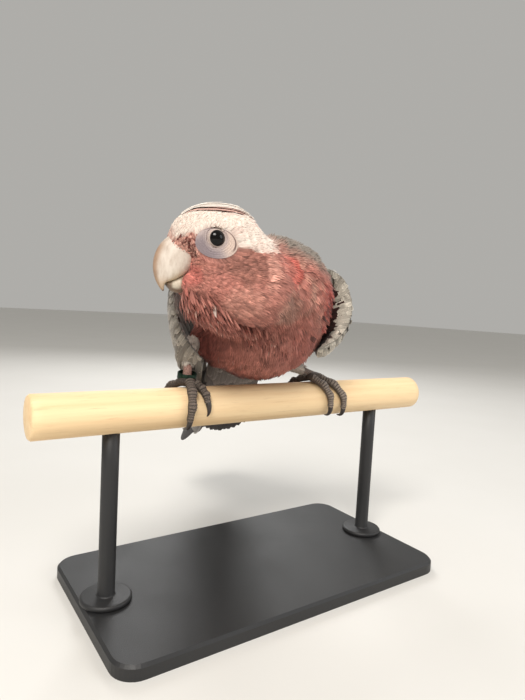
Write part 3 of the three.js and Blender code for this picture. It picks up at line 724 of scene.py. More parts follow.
for label, side in (("left", 1), ("right", -1)):
    steps, turns = 34, 96
    r = np.linspace(0, 1, steps)[:, None] ** 1.15
    turn = np.linspace(0, 2 * np.pi, turns, endpoint=False)[None]
    opening = EYE["opening"]
    f = (opening + (EYE_RING[0] * 1.1 - opening) * r) * np.cos(turn)
    u = (opening + (EYE_RING[1] * 1.1 - opening) * r) * np.sin(turn) - RING_DROP * r
    reach = np.hypot(f, u)
    ball = EYE["out"] + np.sqrt(np.maximum(EYE["radius"] ** 2 - reach**2, 0)) + 0.1
    level = skin_out(f + EYE["forward"], u + EYE["up"], side)
    edge = level[-1:].repeat(steps, 0)
    level = np.where(np.isnan(level), edge, level)
    mound = EYE["out"] + 2.6 - 0.1 * reach
    out_to = ball + (np.maximum(level + 0.25, mound) - ball) * smoothstep(4.1, 5.8, reach)
    out_to = out_to + (level + 0.25 - out_to) * smoothstep(0.6, 1.0, r)
    for _ in range(6):
        out_to[8:-1] = (out_to[7:-2] + 2 * out_to[8:-1] + out_to[9:]) / 4
    lid = 0.42 * np.exp(-(((reach - opening - 0.45) / 0.42) ** 2))
    wander = 0.5 * np.sin(3 * turn + 1) + 0.3 * np.sin(7 * turn)
    folds = np.sin(2 * np.pi * reach / 1.15 + 2.2 * wander) * smoothstep(4.6, 5.4, reach)
    spokes = np.sin(turn * 31 + 3 * np.sin(2 * turn) + reach) * smoothstep(5.2, 7.5, reach)
    folds, spokes = 0.24 * folds * (1 - r), 0.12 * spokes * (1 - r)
    points = out_of(HEAD, f + EYE["forward"], side * (out_to + lid + folds + spokes), u + EYE["up"])
    tints = plain("b3a29e", steps, turns)
    # Bluish-grey skin on the ring's lower front, painted darker there as painted shade under the eye.
    lilac = smoothstep(0.1, 0.9, np.cos(turn - math.radians(-45))) * smoothstep(5, 8, reach)
    tints = paint(tints, 0.75 * lilac, "7c7078")
    tints = paint(tints, smoothstep(0.2, 0.9, -np.cos(turn)) * smoothstep(5, 7, reach), "d5bdae")
    tints = paint(tints, smoothstep(opening + 1.3, opening + 0.5, reach), "cbb9ae")
    tints = paint(tints, smoothstep(opening + 0.35, opening + 0.1, reach), "3a302e")
    brow = smoothstep(0.09, 0.04, np.abs(r - 0.84)) * smoothstep(-0.1, 0.4, np.cos(turn - 2.3))
    tints = paint(tints, 0.85 * brow, "4a2c28")
    faces = grid_faces(steps, turns, True)
    if side < 0:
        faces = faces[:, ::-1]
    mesh = mesh_of(f"eye_ring_{label}", points.reshape(-1, 3), faces)
    give(mesh, "tint", tints.reshape(-1, 3))
    piece_of(f"eye_ring_{label}", mesh, ring_finish)

    rise, turn = np.linspace(0, np.pi, 40)[:, None], np.linspace(0, 2 * np.pi, 64, endpoint=False)[None]
    bulge = EYE["radius"] + 0.25 * np.exp(-((rise / 0.7) ** 2))
    flat = bulge * np.sin(rise)
    points = out_of(HEAD, EYE["forward"] + flat * np.cos(turn), side * (EYE["out"] + bulge * np.cos(rise)),
                    EYE["up"] + flat * np.sin(turn))
    faces = grid_faces(40, 64, True)
    points = points.reshape(-1, 3)
    mesh = mesh_of(f"eyeball_{label}", points, outward(points, faces))
    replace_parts(piece_of(f"eyeball_{label}", mesh, eye_finish), f"eye_{label}")


# ---------------------------------------------------------------- the bill
# Layered horn over bone, set into the face. The upper half hooks down over the scoop of the lower, and is tan
# along its ridge.

BILL = {"radius": 19.2, "half": 8.4, "tip_half": 1.0, "base": 80, "tip": -45}

bill_finish, surface = finish_of("bill_horn", Specular_IOR_Level=0.35)
own = surface.node("ShaderNodeTexCoord", out=3)
tint = surface.node("ShaderNodeAttribute", {"attribute_name": "tint"})
layers = own.stretched(1, 1, 0.35).noise(420, 5, 0.6)
chips = own.noise(1500, 4, 0.7)
surface.feed("Base Color", tint.mix(rgb("8d6f58"), layers.step(0.4, 0.75) * 0.45).mix(
    rgb("f4ece2"), chips.step(0.55, 0.8) * 0.25))
surface.feed("Roughness", 0.42 + 0.3 * layers)
surface.feed("Normal", (layers + 0.4 * chips).relief(0.0002))


def merged(parts):
    """Tubes of point rows with closed ends, as one set of points and triangles with their tints."""
    points, faces, tints, start = [], [], [], 0
    for rings, colours in parts:
        rows, columns = rings.shape[:2]
        body = grid_faces(rows, columns, True)
        j = np.arange(columns)
        k = (j + 1) % columns
        last, end = (rows - 1) * columns, rows * columns
        caps = [np.stack([j * 0 + end, k, j], -1), np.stack([last + j, last + k, j * 0 + end + 1], -1)]
        tris = np.concatenate([body[:, [0, 1, 2]], body[:, [0, 2, 3]], *caps])
        points += [rings.reshape(-1, 3), rings[:1].mean(1), rings[-1:].mean(1)]
        tints += [colours.reshape(-1, 3), colours[0, :1], colours[-1, :1]]
        faces.append(tris + start)
        start += rows * columns + 2
    return np.concatenate(points), np.concatenate(faces), np.concatenate(tints)


def shell(name, parts, material, slot, *nodes):
    """Closed tubes as one piece in place of CAD nodes."""
    points, faces, tints = merged(parts)
    mesh = mesh_of(name, points, outward(points, faces))
    give(mesh, "tint", tints)
    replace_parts(piece_of(name, mesh, material), *nodes)


def curve(share, knots, values):
    """A smooth line through the knots."""
    fine = np.linspace(-0.1, 1.1, 241)
    line = np.interp(fine, knots, values)
    for _ in range(2):
        line = np.convolve(np.pad(line, 4, "edge"), np.ones(9) / 9, "valid")
    return np.interp(share, fine, line)


share = np.linspace(0, 1, 90)[:, None]
turn = np.linspace(0, 2 * np.pi, 56, endpoint=False)[None]
knots = [0, 0.3, 0.5, 0.66, 0.78, 0.86, 0.9, 0.95, 1.0]
angle = np.radians(BILL["base"] + (BILL["tip"] - BILL["base"]) * share)
inner_f = curve(share, knots, [-17, -21.5, -21.5, -17.5, -12.5, -8.6, -6.4, -5.9, -6.2])
inner_u = curve(share, knots, [8, 3, 0.5, -3.6, -6.3, -7.6, -7.9, -10.2, -12.6])
outer_f = BILL["radius"] * (np.cos(angle) - 1)
outer_u = 0.7 + BILL["radius"] * np.sin(angle)
half = BILL["half"] + (BILL["tip_half"] - BILL["half"]) * share**4.5
lean = np.cos(turn)
points = out_of(HEAD, (outer_f + inner_f) / 2 + (outer_f - inner_f) / 2 * lean,
                half * np.sin(turn) * (1 - 0.18 * lean),
                (outer_u + inner_u) / 2 + (outer_u - inner_u) / 2 * lean)
tints = plain("d9cdc0", 90, 56)
tints = paint(tints, smoothstep(0.7, 0.99, lean) * smoothstep(0.2, 0.45, share), "a98b74")
tints = paint(tints, 0.7 * smoothstep(0.72, 0.95, share) + 0 * turn, "c4a482")
tints = paint(tints, 0.6 * smoothstep(0.55, 0.75, share) * smoothstep(0.2, -0.8, lean), "cfc096")
tints = paint(tints, smoothstep(0.96, 1.0, share) + 0 * turn, "6c5748")
shell("upper_bill", [(points, tints)], bill_finish, "bill", "bill_upper")

share = np.linspace(0, 1, 44)[:, None]
half = 7.6 + (3.4 - 7.6) * share**1.8
height = 5.5 * (1 - 0.82 * share**3)
points = out_of(HEAD, -21 + 13.6 * share + 0 * turn, half * np.cos(turn),
                -6 - 4.8 * share + 2.2 * share**5 + height * np.sin(turn))
tints = plain("8f7c69", 44, 56)
tints = paint(tints, smoothstep(0.5, 1.0, np.sin(turn)) + 0 * share, "9c8a74")
tints = paint(tints, 0.7 * smoothstep(0.1, -0.9, np.sin(turn)) + 0 * share, "6d5c50")
# A painted highlight: a pale patch on each side of the lower half, most of the way to its tip.
pale = smoothstep(0.2, 0.08, np.abs(share - 0.7)) * smoothstep(0.7, 0.95, np.abs(np.cos(turn)))
tints = paint(tints, 0.8 * pale, "e6ddc9")
shell("lower_bill", [(points, tints)], bill_finish, "bill_dark", "bill_lower")


# ---------------------------------------------------------------- the crest
# Long cream feathers with pink edges, rooted over the brow and folded back along the crown. They lie on each
# other like a closed fan, and their tips stand just off the nape.

crest_finish = feather_finish("crest_feathers", 5.0, 0.05, gloom=0.15)
crest_count = 84
across = np.linspace(-1, 1, crest_count) * (0.35 + 0.65 * rng.random(crest_count) ** 0.5)
start = -rng.uniform(9, 30, crest_count)
length = np.minimum(rng.uniform(28, 40, crest_count), 60 + start)
rows = 9
s = np.linspace(0, 1, rows)
f = start[:, None] - length[:, None] * s
l = across[:, None] * (8.6 * np.sin(np.pi * np.clip(-f / 66 - 0.08, 0.05, 0.95)) + 1.4)
above = out_of(HEAD, f, l, 33.0 + 0 * f)
found, out, uv = on_skin(above.reshape(-1, 3))
spine, out = found.reshape(above.shape), out.reshape(above.shape)
out = unit(out + 0.3 * HEAD[1][2])
ridge = 1 - np.abs(across[:, None]) ** 1.5
lift = 0.6 + smoothstep(8, 34, -f) * (0.7 + 1.8 * ridge) + 1.3 * s**4 * ridge
lift = lift + 0.8 * ridge * np.exp(-(((f + 30) / 13) ** 2))
heights = lift + 0.4 * rng.random((crest_count, 1))
tints = varied(plain("f6ebdf", crest_count), 0.05)
tints = paint(tints, 0.8 * smoothstep(0.6, 0.74, np.abs(across)), "dba595")
# Painted shadow: a dark maroon line on the outer edges of the rear feathers, where the crest overhangs the
# crown.
tints = paint(tints, 0.95 * smoothstep(0.8, 0.88, np.abs(across)) * (start < -25), "5b2b2a")
outline = np.array([0.4, 0.8, 1.0, 1.0, 0.95, 0.85, 0.7, 0.45])
made = vanes(spine, out, rng.uniform(1.0, 1.7, crest_count), heights, outline, 5, ragged=0.6)
crest = coat_piece("crest_feathers", made, tints, uv.reshape(crest_count, rows, 2)[:, 0], crest_finish,
                   fade=0.1)
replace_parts(crest, "crest")


# ---------------------------------------------------------------- the wings
# Each folded wing is a thin arm and hand under rows of stiff grey feathers. Small scale-like coverts lie on
# the front, broad ones over them further back, and the long flight feathers reach on to the tip.

WINGS = {
    "left": {"side": 1, "at": (44, -36, 188), "tip": (64, 160, 85), "rim": 9, "half": 22.5, "wrap": 98,
             "hug": 11, "nose": 2, "lift": 1.0},
    "right": {"side": -1, "at": (-75, 0, 176), "tip": (24, 160, 62), "rim": 5, "half": 26, "wrap": 38,
              "hug": 11, "nose": 7, "lift": 0.0},
}


def wing_sheet(label, inner):
    """A grid of points over the outer or inner face of a folded wing, from its front to its tip."""
    wing = WINGS[label]
    front, tip = np.array(wing["at"], float), np.array(wing["tip"], float)
    back = tip - front
    length = np.linalg.norm(back)
    back = back / length
    side = wing["side"]
    out = unit(np.array([side, 0, 0]) - side * back[0] * back)
    rise = np.cross(out, back) * side
    share, t = np.linspace(0, 1, 61)[:, None], np.linspace(0, 1, 33)[None]
    lowest = -1 + wing["lift"] * smoothstep(0.0, 0.3, share)
    t = lowest + (1 - lowest) * t
    corner = 0.09 * np.clip((t - 0.35) / 0.65, 0, 1) ** 2
    share = corner + (1 - corner) * share
    full = wing["half"] + (31 - wing["half"]) * np.sin(np.pi * np.clip(share / 0.7, 0, 1))
    half = full * (1 - 0.62 * np.clip((share - 0.35) / 0.65, 0, 1) ** 1.5)
    wrap = np.radians(wing["wrap"] + (24 - wing["wrap"]) * np.sqrt(share))
    roll = np.radians(52 * share**1.6)
    radius = half / np.sin(np.minimum(wrap, np.pi / 2))
    reach = radius + (-6 if inner else 6)
    tucked = wing["hug"] * np.sin(np.pi * share) + wing["nose"] * (1 - np.clip(share / 0.17, 0, 1)) ** 2
    sideways = reach * np.cos(wrap * t) - radius - tucked
    upward = reach * np.sin(wrap * t)
    tip_line = length - 30 * ((t + 0.75) / 1.75) ** 2
    along = -2 - 15 * t + (tip_line + 2 + 15 * t) * share
    lateral = sideways * np.cos(roll) - upward * np.sin(roll)
    vertical = upward * np.cos(roll) + sideways * np.sin(roll)
    ideal = front + along[..., None] * back + lateral[..., None] * out + vertical[..., None] * rise
    points, faces = soup([f"wing_{label}"])
    tree = BVHTree.FromPolygons(points.tolist(), faces.tolist())
    found = np.array([tuple(tree.find_nearest(p)[0]) for p in ideal.reshape(-1, 3).tolist()])
    grid = found.reshape(ideal.shape)
    for _ in range(6):
        inside = (grid[:-2, 1:-1] + grid[2:, 1:-1] + grid[1:-1, :-2] + grid[1:-1, 2:]) / 4
        grid[1:-1, 1:-1] = (grid[1:-1, 1:-1] + inside) / 2
    return grid, out * (-1 if inner else 1)


def sample(grid, share, t):
    """Values of a grid between its rows and columns."""
    i = np.clip(share, 0, 1) * (grid.shape[0] - 1)
    j = (np.clip(t, -1, 1) + 1) / 2 * (grid.shape[1] - 1)
    a, b = np.minimum(i.astype(int), grid.shape[0] - 2), np.minimum(j.astype(int), grid.shape[1] - 2)
    x, y = (i - a)[..., None], (j - b)[..., None]
    low = grid[a, b] * (1 - y) + grid[a, b + 1] * y
    high = grid[a + 1, b] * (1 - y) + grid[a + 1, b + 1] * y
    return low * (1 - x) + high * x


SHARES = np.sin(np.linspace(0, np.pi / 2, 12))
ROUND = np.where(SHARES < 0.7, 0.4 + 0.6 * smoothstep(0, 0.35, SHARES),
                 np.sqrt(np.maximum(1 - ((SHARES - 0.7) / 0.31) ** 2, 0)))[:-1]


def row_of(sheet, start, end, t_from, t_to, count, half, height, turn=0.0, jitter=0.02):
    """Feathers side by side over a sheet, from a start to an end share of its length."""
    grid, facing = sheet
    t = np.linspace(t_from, t_to, count)
    s = SHARES
    first = np.interp(t, [-1, 1], start) if isinstance(start, tuple) else np.full(count, start)
    last = np.interp(t, [-1, 1], end) if isinstance(end, tuple) else np.full(count, end)
    first = first + jitter * rng.normal(size=count)
    last = last + jitter * rng.normal(size=count)
    share = first[:, None] + (last - first)[:, None] * s
    sweep = t[:, None] + turn * s + 0.01 * rng.normal(size=(count, 1))
    spine, out = sample(grid, share, sweep), sample(facing, share, sweep)
    heights = height[0] + (height[1] - height[0]) * s + 0.15 * rng.random((count, 1))
    uv = np.stack([0.05 + 0.9 * first, 0.5 + 0.45 * t], -1)
    return spine, unit(out), np.full(count, float(half)), heights, uv


COVERTS = [
    # start share, end share, count, half width, lowest and highest
    ((0.33, 0.33), (0.62, 0.62), 11, 5.6, (0.5, 1.5)),
    ((0.23, 0.23), (0.44, 0.46), 13, 4.8, (0.7, 1.8)),
    ((0.15, 0.15), (0.32, 0.33), 15, 3.9, (0.9, 2.0)),
    ((0.09, 0.09), (0.22, 0.23), 19, 3.0, (1.0, 2.0)),
    ((0.04, 0.04), (0.145, 0.15), 24, 2.3, (1.0, 1.9)),
    ((0.0, 0.0), (0.085, 0.09), 28, 1.9, (0.1, 1.5)),
    ((0.0, 0.0), (0.045, 0.045), 32, 1.6, (0.1, 1.2)),
]
flight_finish = feather_finish("flight_feathers", 26.0, 0.12, roughness=0.6, sheen=0.02)
covert_finish = feather_finish("covert_feathers", 14.0, 0.26, roughness=0.68)
core_finish, surface = finish_of("wing_skin", Roughness=0.75)
own = surface.node("ShaderNodeTexCoord", out=3)
mottle = own.noise(500, 4)
tint = surface.node("ShaderNodeAttribute", {"attribute_name": "tint"})
surface.feed("Base Color", tint.mix(rgb("4a3f3a"), 0.4 * mottle))
surface.feed("Roughness", 0.6 + 0.25 * mottle)
surface.feed("Normal", mottle.relief(0.0003))


def joined(name, parts, material, fade=0.2, tip=0.0):
    """Several rows of like feathers as one piece."""
    mades, tints, uvs = zip(*parts)
    points = np.concatenate([m[0] for m in mades])
    size = points.shape[1]
    starts = np.cumsum([0] + [len(m[0]) * size for m in mades[:-1]])
    faces = np.concatenate([m[1] + start for m, start in zip(mades, starts)])
    made = (points, faces, mades[0][2], mades[0][3])
    return coat_piece(name, made, np.concatenate(tints), np.concatenate(uvs), material, fade, tip)


def dome(x):
    """A quarter circle's height, from 0 at 0 to 1 at 1."""
    return np.sqrt(1 - (1 - np.clip(x, 0, 1)) ** 2)


def facing_of(grid, way):
    """The directions out of a grid of points, on the side that the way points to."""
    facing = unit(np.cross(np.gradient(grid, axis=0), np.gradient(grid, axis=1)))
    return facing * np.sign((facing @ way).mean())


for label in WINGS:
    (outer, out), (inner, _) = wing_sheet(label, False), wing_sheet(label, True)
    middle = (outer + inner) / 2
    rows, columns = middle.shape[:2]
    edge = 1 - np.abs(np.linspace(-1, 1, columns))
    thin = (dome(np.linspace(0, 1, rows)[:, None] / 0.07) * dome(edge / 0.2))[..., None]
    outer, inner = middle + (outer - middle) * thin, middle + (inner - middle) * thin
    upper, lower = middle + (outer - middle) * 0.7, middle + (inner - middle) * 0.6
    outer, inner = (outer, facing_of(outer, out)), (inner, facing_of(inner, -out))
    faces = grid_faces(rows, columns, False)
    both = np.concatenate([upper.reshape(-1, 3), lower.reshape(-1, 3)])
    count = rows * columns
    rim = np.concatenate([np.arange(columns), np.arange(1, rows) * columns + columns - 1,
                          count - 2 - np.arange(columns - 1), np.arange(rows - 2, 0, -1) * columns])
    following = np.roll(rim, -1)
    wall = np.stack([rim, following, following + count, rim + count], -1)
    faces = np.concatenate([faces, faces[:, ::-1] + count, wall[:, ::-1]])
    mesh = mesh_of(f"wing_core_{label}", both, outward(both, faces))
    shade = smoothstep(0.3, 0.75, np.tile(np.repeat(np.linspace(0, 1, rows), columns), 2))
    give(mesh, "tint", paint(plain("989085", len(both)), shade, "29292c"))
    core = piece_of(f"wing_core_{label}", mesh, core_finish)
    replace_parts(core, f"wing_{label}")

    flights = []
    for lowest, highest, t_from, t_to, count, half, start, end, turn in (
        (-0.5, 0.6, -0.92, -0.25, 9, 5.0, (0.28, 0.30), (1.0, 0.99), 0.12),
        (0.2, 1.1, -0.3, 0.9, 12, 6.6, (0.22, 0.26), (0.92, 0.84), 0.0),
    ):
        spine, out, halves, heights, uv = row_of(outer, start, end, t_from, t_to, count, half,
                                                 (lowest, highest), turn)
        dark = np.linspace(0, 1, count)[:, None]
        tints = varied(tone("1d1d20") + (tone("3c3b3b") - tone("1d1d20")) * dark, 0.05)
        if half > 6:
            tints = varied(plain("6b6763", count), 0.05)
        flights.append((vanes(spine, out, halves, heights, ROUND, 7, 0.08, 0.15, SHARES), tints, uv))
    joined(f"flight_feathers_{label}", flights, flight_finish, 0.2, 0.7)

    coverts = []
    for start, end, count, half, height in COVERTS:
        spine, out, halves, heights, uv = row_of(outer, start, end, -0.97, 0.97, count, half, height)
        pale = smoothstep(0.3, 0.0, start[0]) * (1.0 if label == "left" else 0.35)
        grey = tone("8a847d" if label == "left" else "77726c")
        tints = varied(np.broadcast_to(grey + (tone("d6cfc1") - grey) * pale, (count, 3)), 0.14)
        coverts.append((vanes(spine, out, halves, heights, ROUND, 7, 0.12, 0.2, SHARES), tints, uv))
    joined(f"coverts_{label}", coverts, covert_finish, 0.5)

    linings = []
    for start, end, count, half, height in COVERTS:
        first = start[0] < 0.04
        end = (0.03, 0.035) if first else end
        spine, out, halves, heights, uv = row_of(inner, start, end, -0.95, 0.95, count, half, height)
        # The left wing's pink lining near its front is painted dark maroon, painted shade inside the wing.
        bare = "46403d" if start[0] > 0.2 else "4a2823"
        code = ("cac3b5" if first else bare) if label == "left" else "8f8a83"
        tints = varied(plain(code, count), 0.12)
        linings.append((vanes(spine, out, halves, heights * 0.5, ROUND, 7, 0.12, 0.3, SHARES), tints, uv))
    joined(f"lining_{label}", linings, covert_finish, 0.5)


# ---------------------------------------------------------------- the tail
# Twelve stiff feathers in a shallow roof, each pair a little longer than the pair outside it, between soft
# coverts above and below.

TAIL = place((8, 46, 156), 24, 38)
TAIL_LENGTH = 158
ROOT_HALF, TAIL_HALF = 20, 24


def tail_sheet(face):
    """A grid of points over the upper face, 1, or the lower, -1, with the directions out of it."""
    share, t = np.linspace(0, 1, 41)[:, None], np.linspace(-1, 1, 25)[None]
    half = ROOT_HALF + (TAIL_HALF - ROOT_HALF) * share**1.2 - 1.5 * np.sin(np.pi * share)
    thick = 0.9 + 13 * (1 - np.clip(share / 0.62, 0, 1)) ** 1.7
    bulge = thick * np.sqrt(1 - 0.93 * t**2) * (0.5 if face > 0 else 0.7)
    back = share * (TAIL_LENGTH - 34 * t**2)
    grid = out_of(TAIL, -back, t * half, face * bulge * 0.55 - 4 * t**2 * share)
    return grid, facing_of(grid, TAIL[1][2]) * face


tail_finish = feather_finish("tail_feathers", 26.0, 0.35, roughness=0.6, sheen=0.02)
order = np.array([-0.92, -0.75, -0.58, -0.41, -0.24, -0.07, 0.07, 0.24, 0.41, 0.58, 0.75, 0.92])
feathers = []
for face, code in ((1, "55534f"), (-1, "3a3835")):
    spine, out, halves, heights, uv = row_of(tail_sheet(face), 0.05, 1.0, -0.9, 0.9, len(order), 5.4,
                                             (-0.4, 0.3), jitter=0.004)
    heights = heights + 0.5 * (1 - np.abs(order))[:, None] * face - (0.2 if face < 0 else 0)
    uv = uv * (1, 0.46) + (0, 0.25 + 0.25 * face)
    tints = varied(plain(code, len(order)), 0.05)
    feathers.append((vanes(spine, out, halves, heights, ROUND, 7, 0.06, 0.12, SHARES), tints, uv))
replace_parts(joined("tail_feathers", feathers, tail_finish, 0.1, 0.6), "tail")

coverts = []
for face, codes in ((1, ("b5ada5", "a59e97", "8f8a86")), (-1, ("8d837a", "857a72", "6f665f"))):
    sheet = tail_sheet(face)
    for row, code in enumerate(codes[::-1]):
        start = 0.26 - 0.13 * row
        spine, out, halves, heights, uv = row_of(sheet, start - 0.02, start + 0.24, -0.92, 0.92, 15, 3.6,
                                                 (0.2, 1.6), jitter=0.02)
        tints = varied(plain(code, len(uv)), 0.07)
        uv = uv * (1, 0.46) + (0, 0.25 + 0.25 * face)
        coverts.append((vanes(spine, out, halves, heights, ROUND, 7, 0.12, 0.4, SHARES), tints, uv))
joined("tail_coverts", coverts, covert_finish)
rump = out_of(TAIL, 6.0, np.linspace(-19, 19, 7), 9 - np.linspace(-3, 3, 7) ** 2)
tufts_along("coat_rump", rump, 1100, 5.0, -0.9 * TAIL[1][0] + 0.15 * TAIL[1][2], (12, 22), (1.4, 2.5),
            ("b9b1a8", "a69e96", "948c84"), (0.4, 0.4, 0.2))


# ---------------------------------------------------------------- the feet and claws
# Grey scaled toes, two forward and two back, clasped round the perch. Broad scutes cross the top of each,
# fine scales cover the sides, and a black claw ends it.

PERCH_RADIUS = 12.5
PERCH_HEIGHT = 120.0
GAP = 0.3
LEGS = {
    # toes: along the perch at the start and end, angle round it at the start and end, radius, claw's sweep
    "left": {"heel": (32, 6, 143), "ankle": (44, 0, 137), "toes": [
        (43, 32, -8, -52, 2.5, 34), (41, 49.5, 12, 104, 2.7, 40),
        (47, 62.5, 6, 112, 2.9, 40), (48, 60, -14, -96, 2.8, 38)]},
    "right": {"heel": (-55, 5, 151), "ankle": (-58, 1, 137), "toes": [
        (-55, -47, -14, -72, 2.5, 34), (-54, -50.5, 16, 72, 2.6, 34),
        (-58, -62, 12, 112, 3.0, 40), (-60, -68, -12, -92, 2.8, 38)]},
}

for label, leg in LEGS.items():
    heel, ankle = np.array(leg["heel"], float), np.array(leg["ankle"], float)
    count = 420
    down = unit(ankle - heel)
    across = unit(np.cross(down, [0, 1, 0.1]))
    turn, share = rng.uniform(0, 2 * np.pi, count)[:, None], rng.uniform(-0.9, 0.12, count)[:, None]
    radial = across * np.cos(turn) + np.cross(down, across) * np.sin(turn)
    girth = 2.7 + 2.2 * smoothstep(0.0, -0.9, share)
    roots = heel + (ankle - heel) * share + radial * girth
    spine = roots[:, None] + down * np.linspace(0, 6.5, 4)[:, None]
    out = np.repeat(radial[:, None], 4, 1)
    heights = np.array([0, 0.8, 1.2, 1.3]) * rng.uniform(0.5, 1.2, (count, 1))
    made = vanes(spine, out, rng.uniform(0.6, 1.1, count), heights, np.array([0.4, 1.0, 0.8]), 4, 0.2, 0.6)
    tints = varied(plain("d3c9be", count), 0.12)
    coat_piece(f"coat_leg_{label}", made, tints, on_skin(roots)[2], downy)

foot_finish, surface = finish_of("scaled_skin", Roughness=0.6)
own = surface.node("ShaderNodeTexCoord", out=3)
tint = surface.node("ShaderNodeAttribute", {"attribute_name": "tint"})
scales = own.node("ShaderNodeTexVoronoi", {"feature": "DISTANCE_TO_EDGE"}, {"Vector": own, "Scale": 900.0})
dust = own.noise(1600, 4)
surface.feed("Base Color", tint.mix(rgb("2b2320"), scales.step(0.12, 0.02) * 0.6).mix(
    rgb("a39689"), dust.step(0.5, 0.8) * 0.35))
surface.feed("Roughness", 0.5 + 0.3 * dust)
surface.feed("Normal", (scales.step(0.0, 0.25) + 0.3 * dust).relief(0.00025))

claw_finish, surface = finish_of("claw_horn", Roughness=0.3)
own = surface.node("ShaderNodeTexCoord", out=3)
growth = own.noise(700, 4)
surface.feed("Base Color", growth.between("141110", "4a403b"))
surface.feed("Roughness", 0.25 + 0.3 * growth)
surface.feed("Normal", growth.relief(0.00015))


def on_perch(x, degrees, height):
    """A point over the wood: its place along it, the angle from the top to the front, and its height."""
    reach, angle = PERCH_RADIUS + height, np.radians(degrees)
    return np.stack([x, -reach * np.sin(angle), PERCH_HEIGHT + reach * np.cos(angle)], -1)


def around(path, sides):
    """The directions out of a path, in turn round each of its points."""
    along = unit(np.gradient(path, axis=0))
    across = unit(np.cross([1.0, 0, 0], along))
    over = np.cross(along, across)
    turn = np.linspace(0, 2 * np.pi, sides, endpoint=False)[:, None]
    return across[:, None] * np.cos(turn) + over[:, None] * np.sin(turn)


for label, leg in LEGS.items():
    # Both feet are alike in life: the right foot's colours are painted darker as painted shade and the left's
    # lighter as painted light.
    dark, light, shank = ("5a4e46", "9c8e82", "8f7d73") if label == "left" else ("3b312b", "786b60", "b98d80")
    heel, ankle = np.array(leg["heel"], float), np.array(leg["ankle"], float)
    toes, claws = [], []
    for x0, x1, from_angle, to_angle, radius, sweep in leg["toes"]:
        t = np.linspace(0, 1, 150)
        scutes = round(abs(to_angle - from_angle) * 0.17)
        radii = (radius + (2.3 - radius) * t) * (1 + 0.1 * np.cos(6 * np.pi * t)) * (1 - 0.25 * t**8)
        x = x0 + (x1 - x0) * np.sin(np.pi / 2 * t)
        path = on_perch(x, from_angle + (to_angle - from_angle) * t, radii + GAP)
        ridge = np.abs(np.sin(np.pi * scutes * t)) ** 0.45
        off_wood = unit((path - (0, 0, PERCH_HEIGHT)) * (0, 1, 1))
        facing = around(path, 24)
        top = np.clip((facing * off_wood[:, None]).sum(-1), -1, 1)
        reach = radii[:, None] * (1 + 0.2 * (ridge[:, None] - 0.55) * smoothstep(0.0, 0.45, top))
        reach = reach * (1 - 0.1 * smoothstep(0.5, 1.0, -top))
        tints = plain(dark, *top.shape)
        # On the side away from the wood, the scutes' crests are painted lighter as a painted highlight and
        # the creases between them near black, their own dark joints deepened by painted shade.
        tints = paint(tints, smoothstep(0.0, 0.5, top) * smoothstep(0.55, 0.95, ridge)[:, None], light)
        tints = paint(tints, smoothstep(0.0, 0.4, top) * smoothstep(0.45, 0.1, ridge)[:, None], "120e0c")
        toes.append((path[:, None] + facing * reach[..., None], tints))

        onward = np.sign(to_angle - from_angle)
        t = np.linspace(0, 1, 36)
        radii = 1.8 + (0.35 - 1.8) * t**1.3
        drift = (x1 - x0) / abs(to_angle - from_angle) * 0.3
        path = on_perch(x1 + drift * sweep * t, to_angle + onward * (1.2 + sweep * t),
                        radii + 0.5 + 1.1 * np.sin(np.pi * t) + 0.6 * (1 - t))
        claws.append((path[:, None] + around(path, 16) * radii[:, None, None], plain("2a2422", 36, 16)))
    t = np.linspace(0, 1, 60)
    path = heel + (ankle - heel) * t[:, None]
    girth = 3.1 - 0.45 * np.sin(np.pi * t)
    toes.append((path[:, None] + around(path, 24) * girth[:, None, None], plain(shank, 60, 24)))
    sink, turn = np.linspace(0.02, np.pi - 0.02, 24)[:, None], np.linspace(0, 2 * np.pi, 32, endpoint=False)
    pad = np.stack([6.2 * np.sin(sink) * np.cos(turn), 5.6 * np.sin(sink) * np.sin(turn),
                    3.5 * np.cos(sink) + 0 * turn], -1) + ankle + (0, -0.5, -0.6)
    toes.append((pad, plain(dark, 24, 32)))
    shell(f"toes_{label}", toes, foot_finish, "scaled_skin", f"foot_{label}")
    shell(f"claws_{label}", claws, claw_finish, "claw", *[f"claw_{label}_{i + 1}" for i in range(4)])


# ---------------------------------------------------------------- the leg ring
# A thin closed band of anodised metal, slipped over the foot when the bird was young. It hangs loose round
# the right shank and rests on the foot.

ring_metal, surface = finish_of("ring_metal", Metallic=0.7, Roughness=0.4)
own = surface.node("ShaderNodeTexCoord", out=3)
worn = own.noise(900, 5, 0.7)
surface.feed("Base Color", worn.step(0.4, 0.8).between("14281f", "35503f"))
surface.feed("Roughness", 0.3 + 0.3 * worn)
surface.feed("Normal", worn.relief(0.00008))


def turned(profile, sides, axis, at):
    """A closed profile of (radius, height) turned round an axis through a point."""
    turn = np.linspace(0, 2 * np.pi, sides, endpoint=False)
    axis = unit(np.array(axis, float))
    a = unit(np.cross(axis, [0.3, 1, 0.2]))
    b = np.cross(axis, a)
    r, h = np.array(profile, float).T
    circle = a * np.cos(turn)[:, None] + b * np.sin(turn)[:, None]
    return np.array(at) + circle[None] * r[:, None, None] + axis * h[:, None, None]


tilt = math.radians(10)
heel, ankle = np.array(LEGS["right"]["heel"]), np.array(LEGS["right"]["ankle"])
ring_at = ankle + 0.18 * (heel - ankle)
profile = [(5.1, -1.8), (5.1, 1.8), (5.35, 2.1), (5.75, 2.1), (6.0, 1.8), (6.0, -1.8), (5.75, -2.1),
           (5.35, -2.1), (5.1, -1.8)]
points = turned(profile, 64, (0, -math.sin(tilt), math.cos(tilt)), ring_at)
mesh = mesh_of("band", points.reshape(-1, 3), grid_faces(len(profile), 64, True))
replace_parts(piece_of("band", mesh, ring_metal), "leg_ring")


# ---------------------------------------------------------------- the perch and its stand
# A length of sanded beech dowel, glued on two steel rods that are screwed to a heavy base. Rods and base
# share one black powder coat.

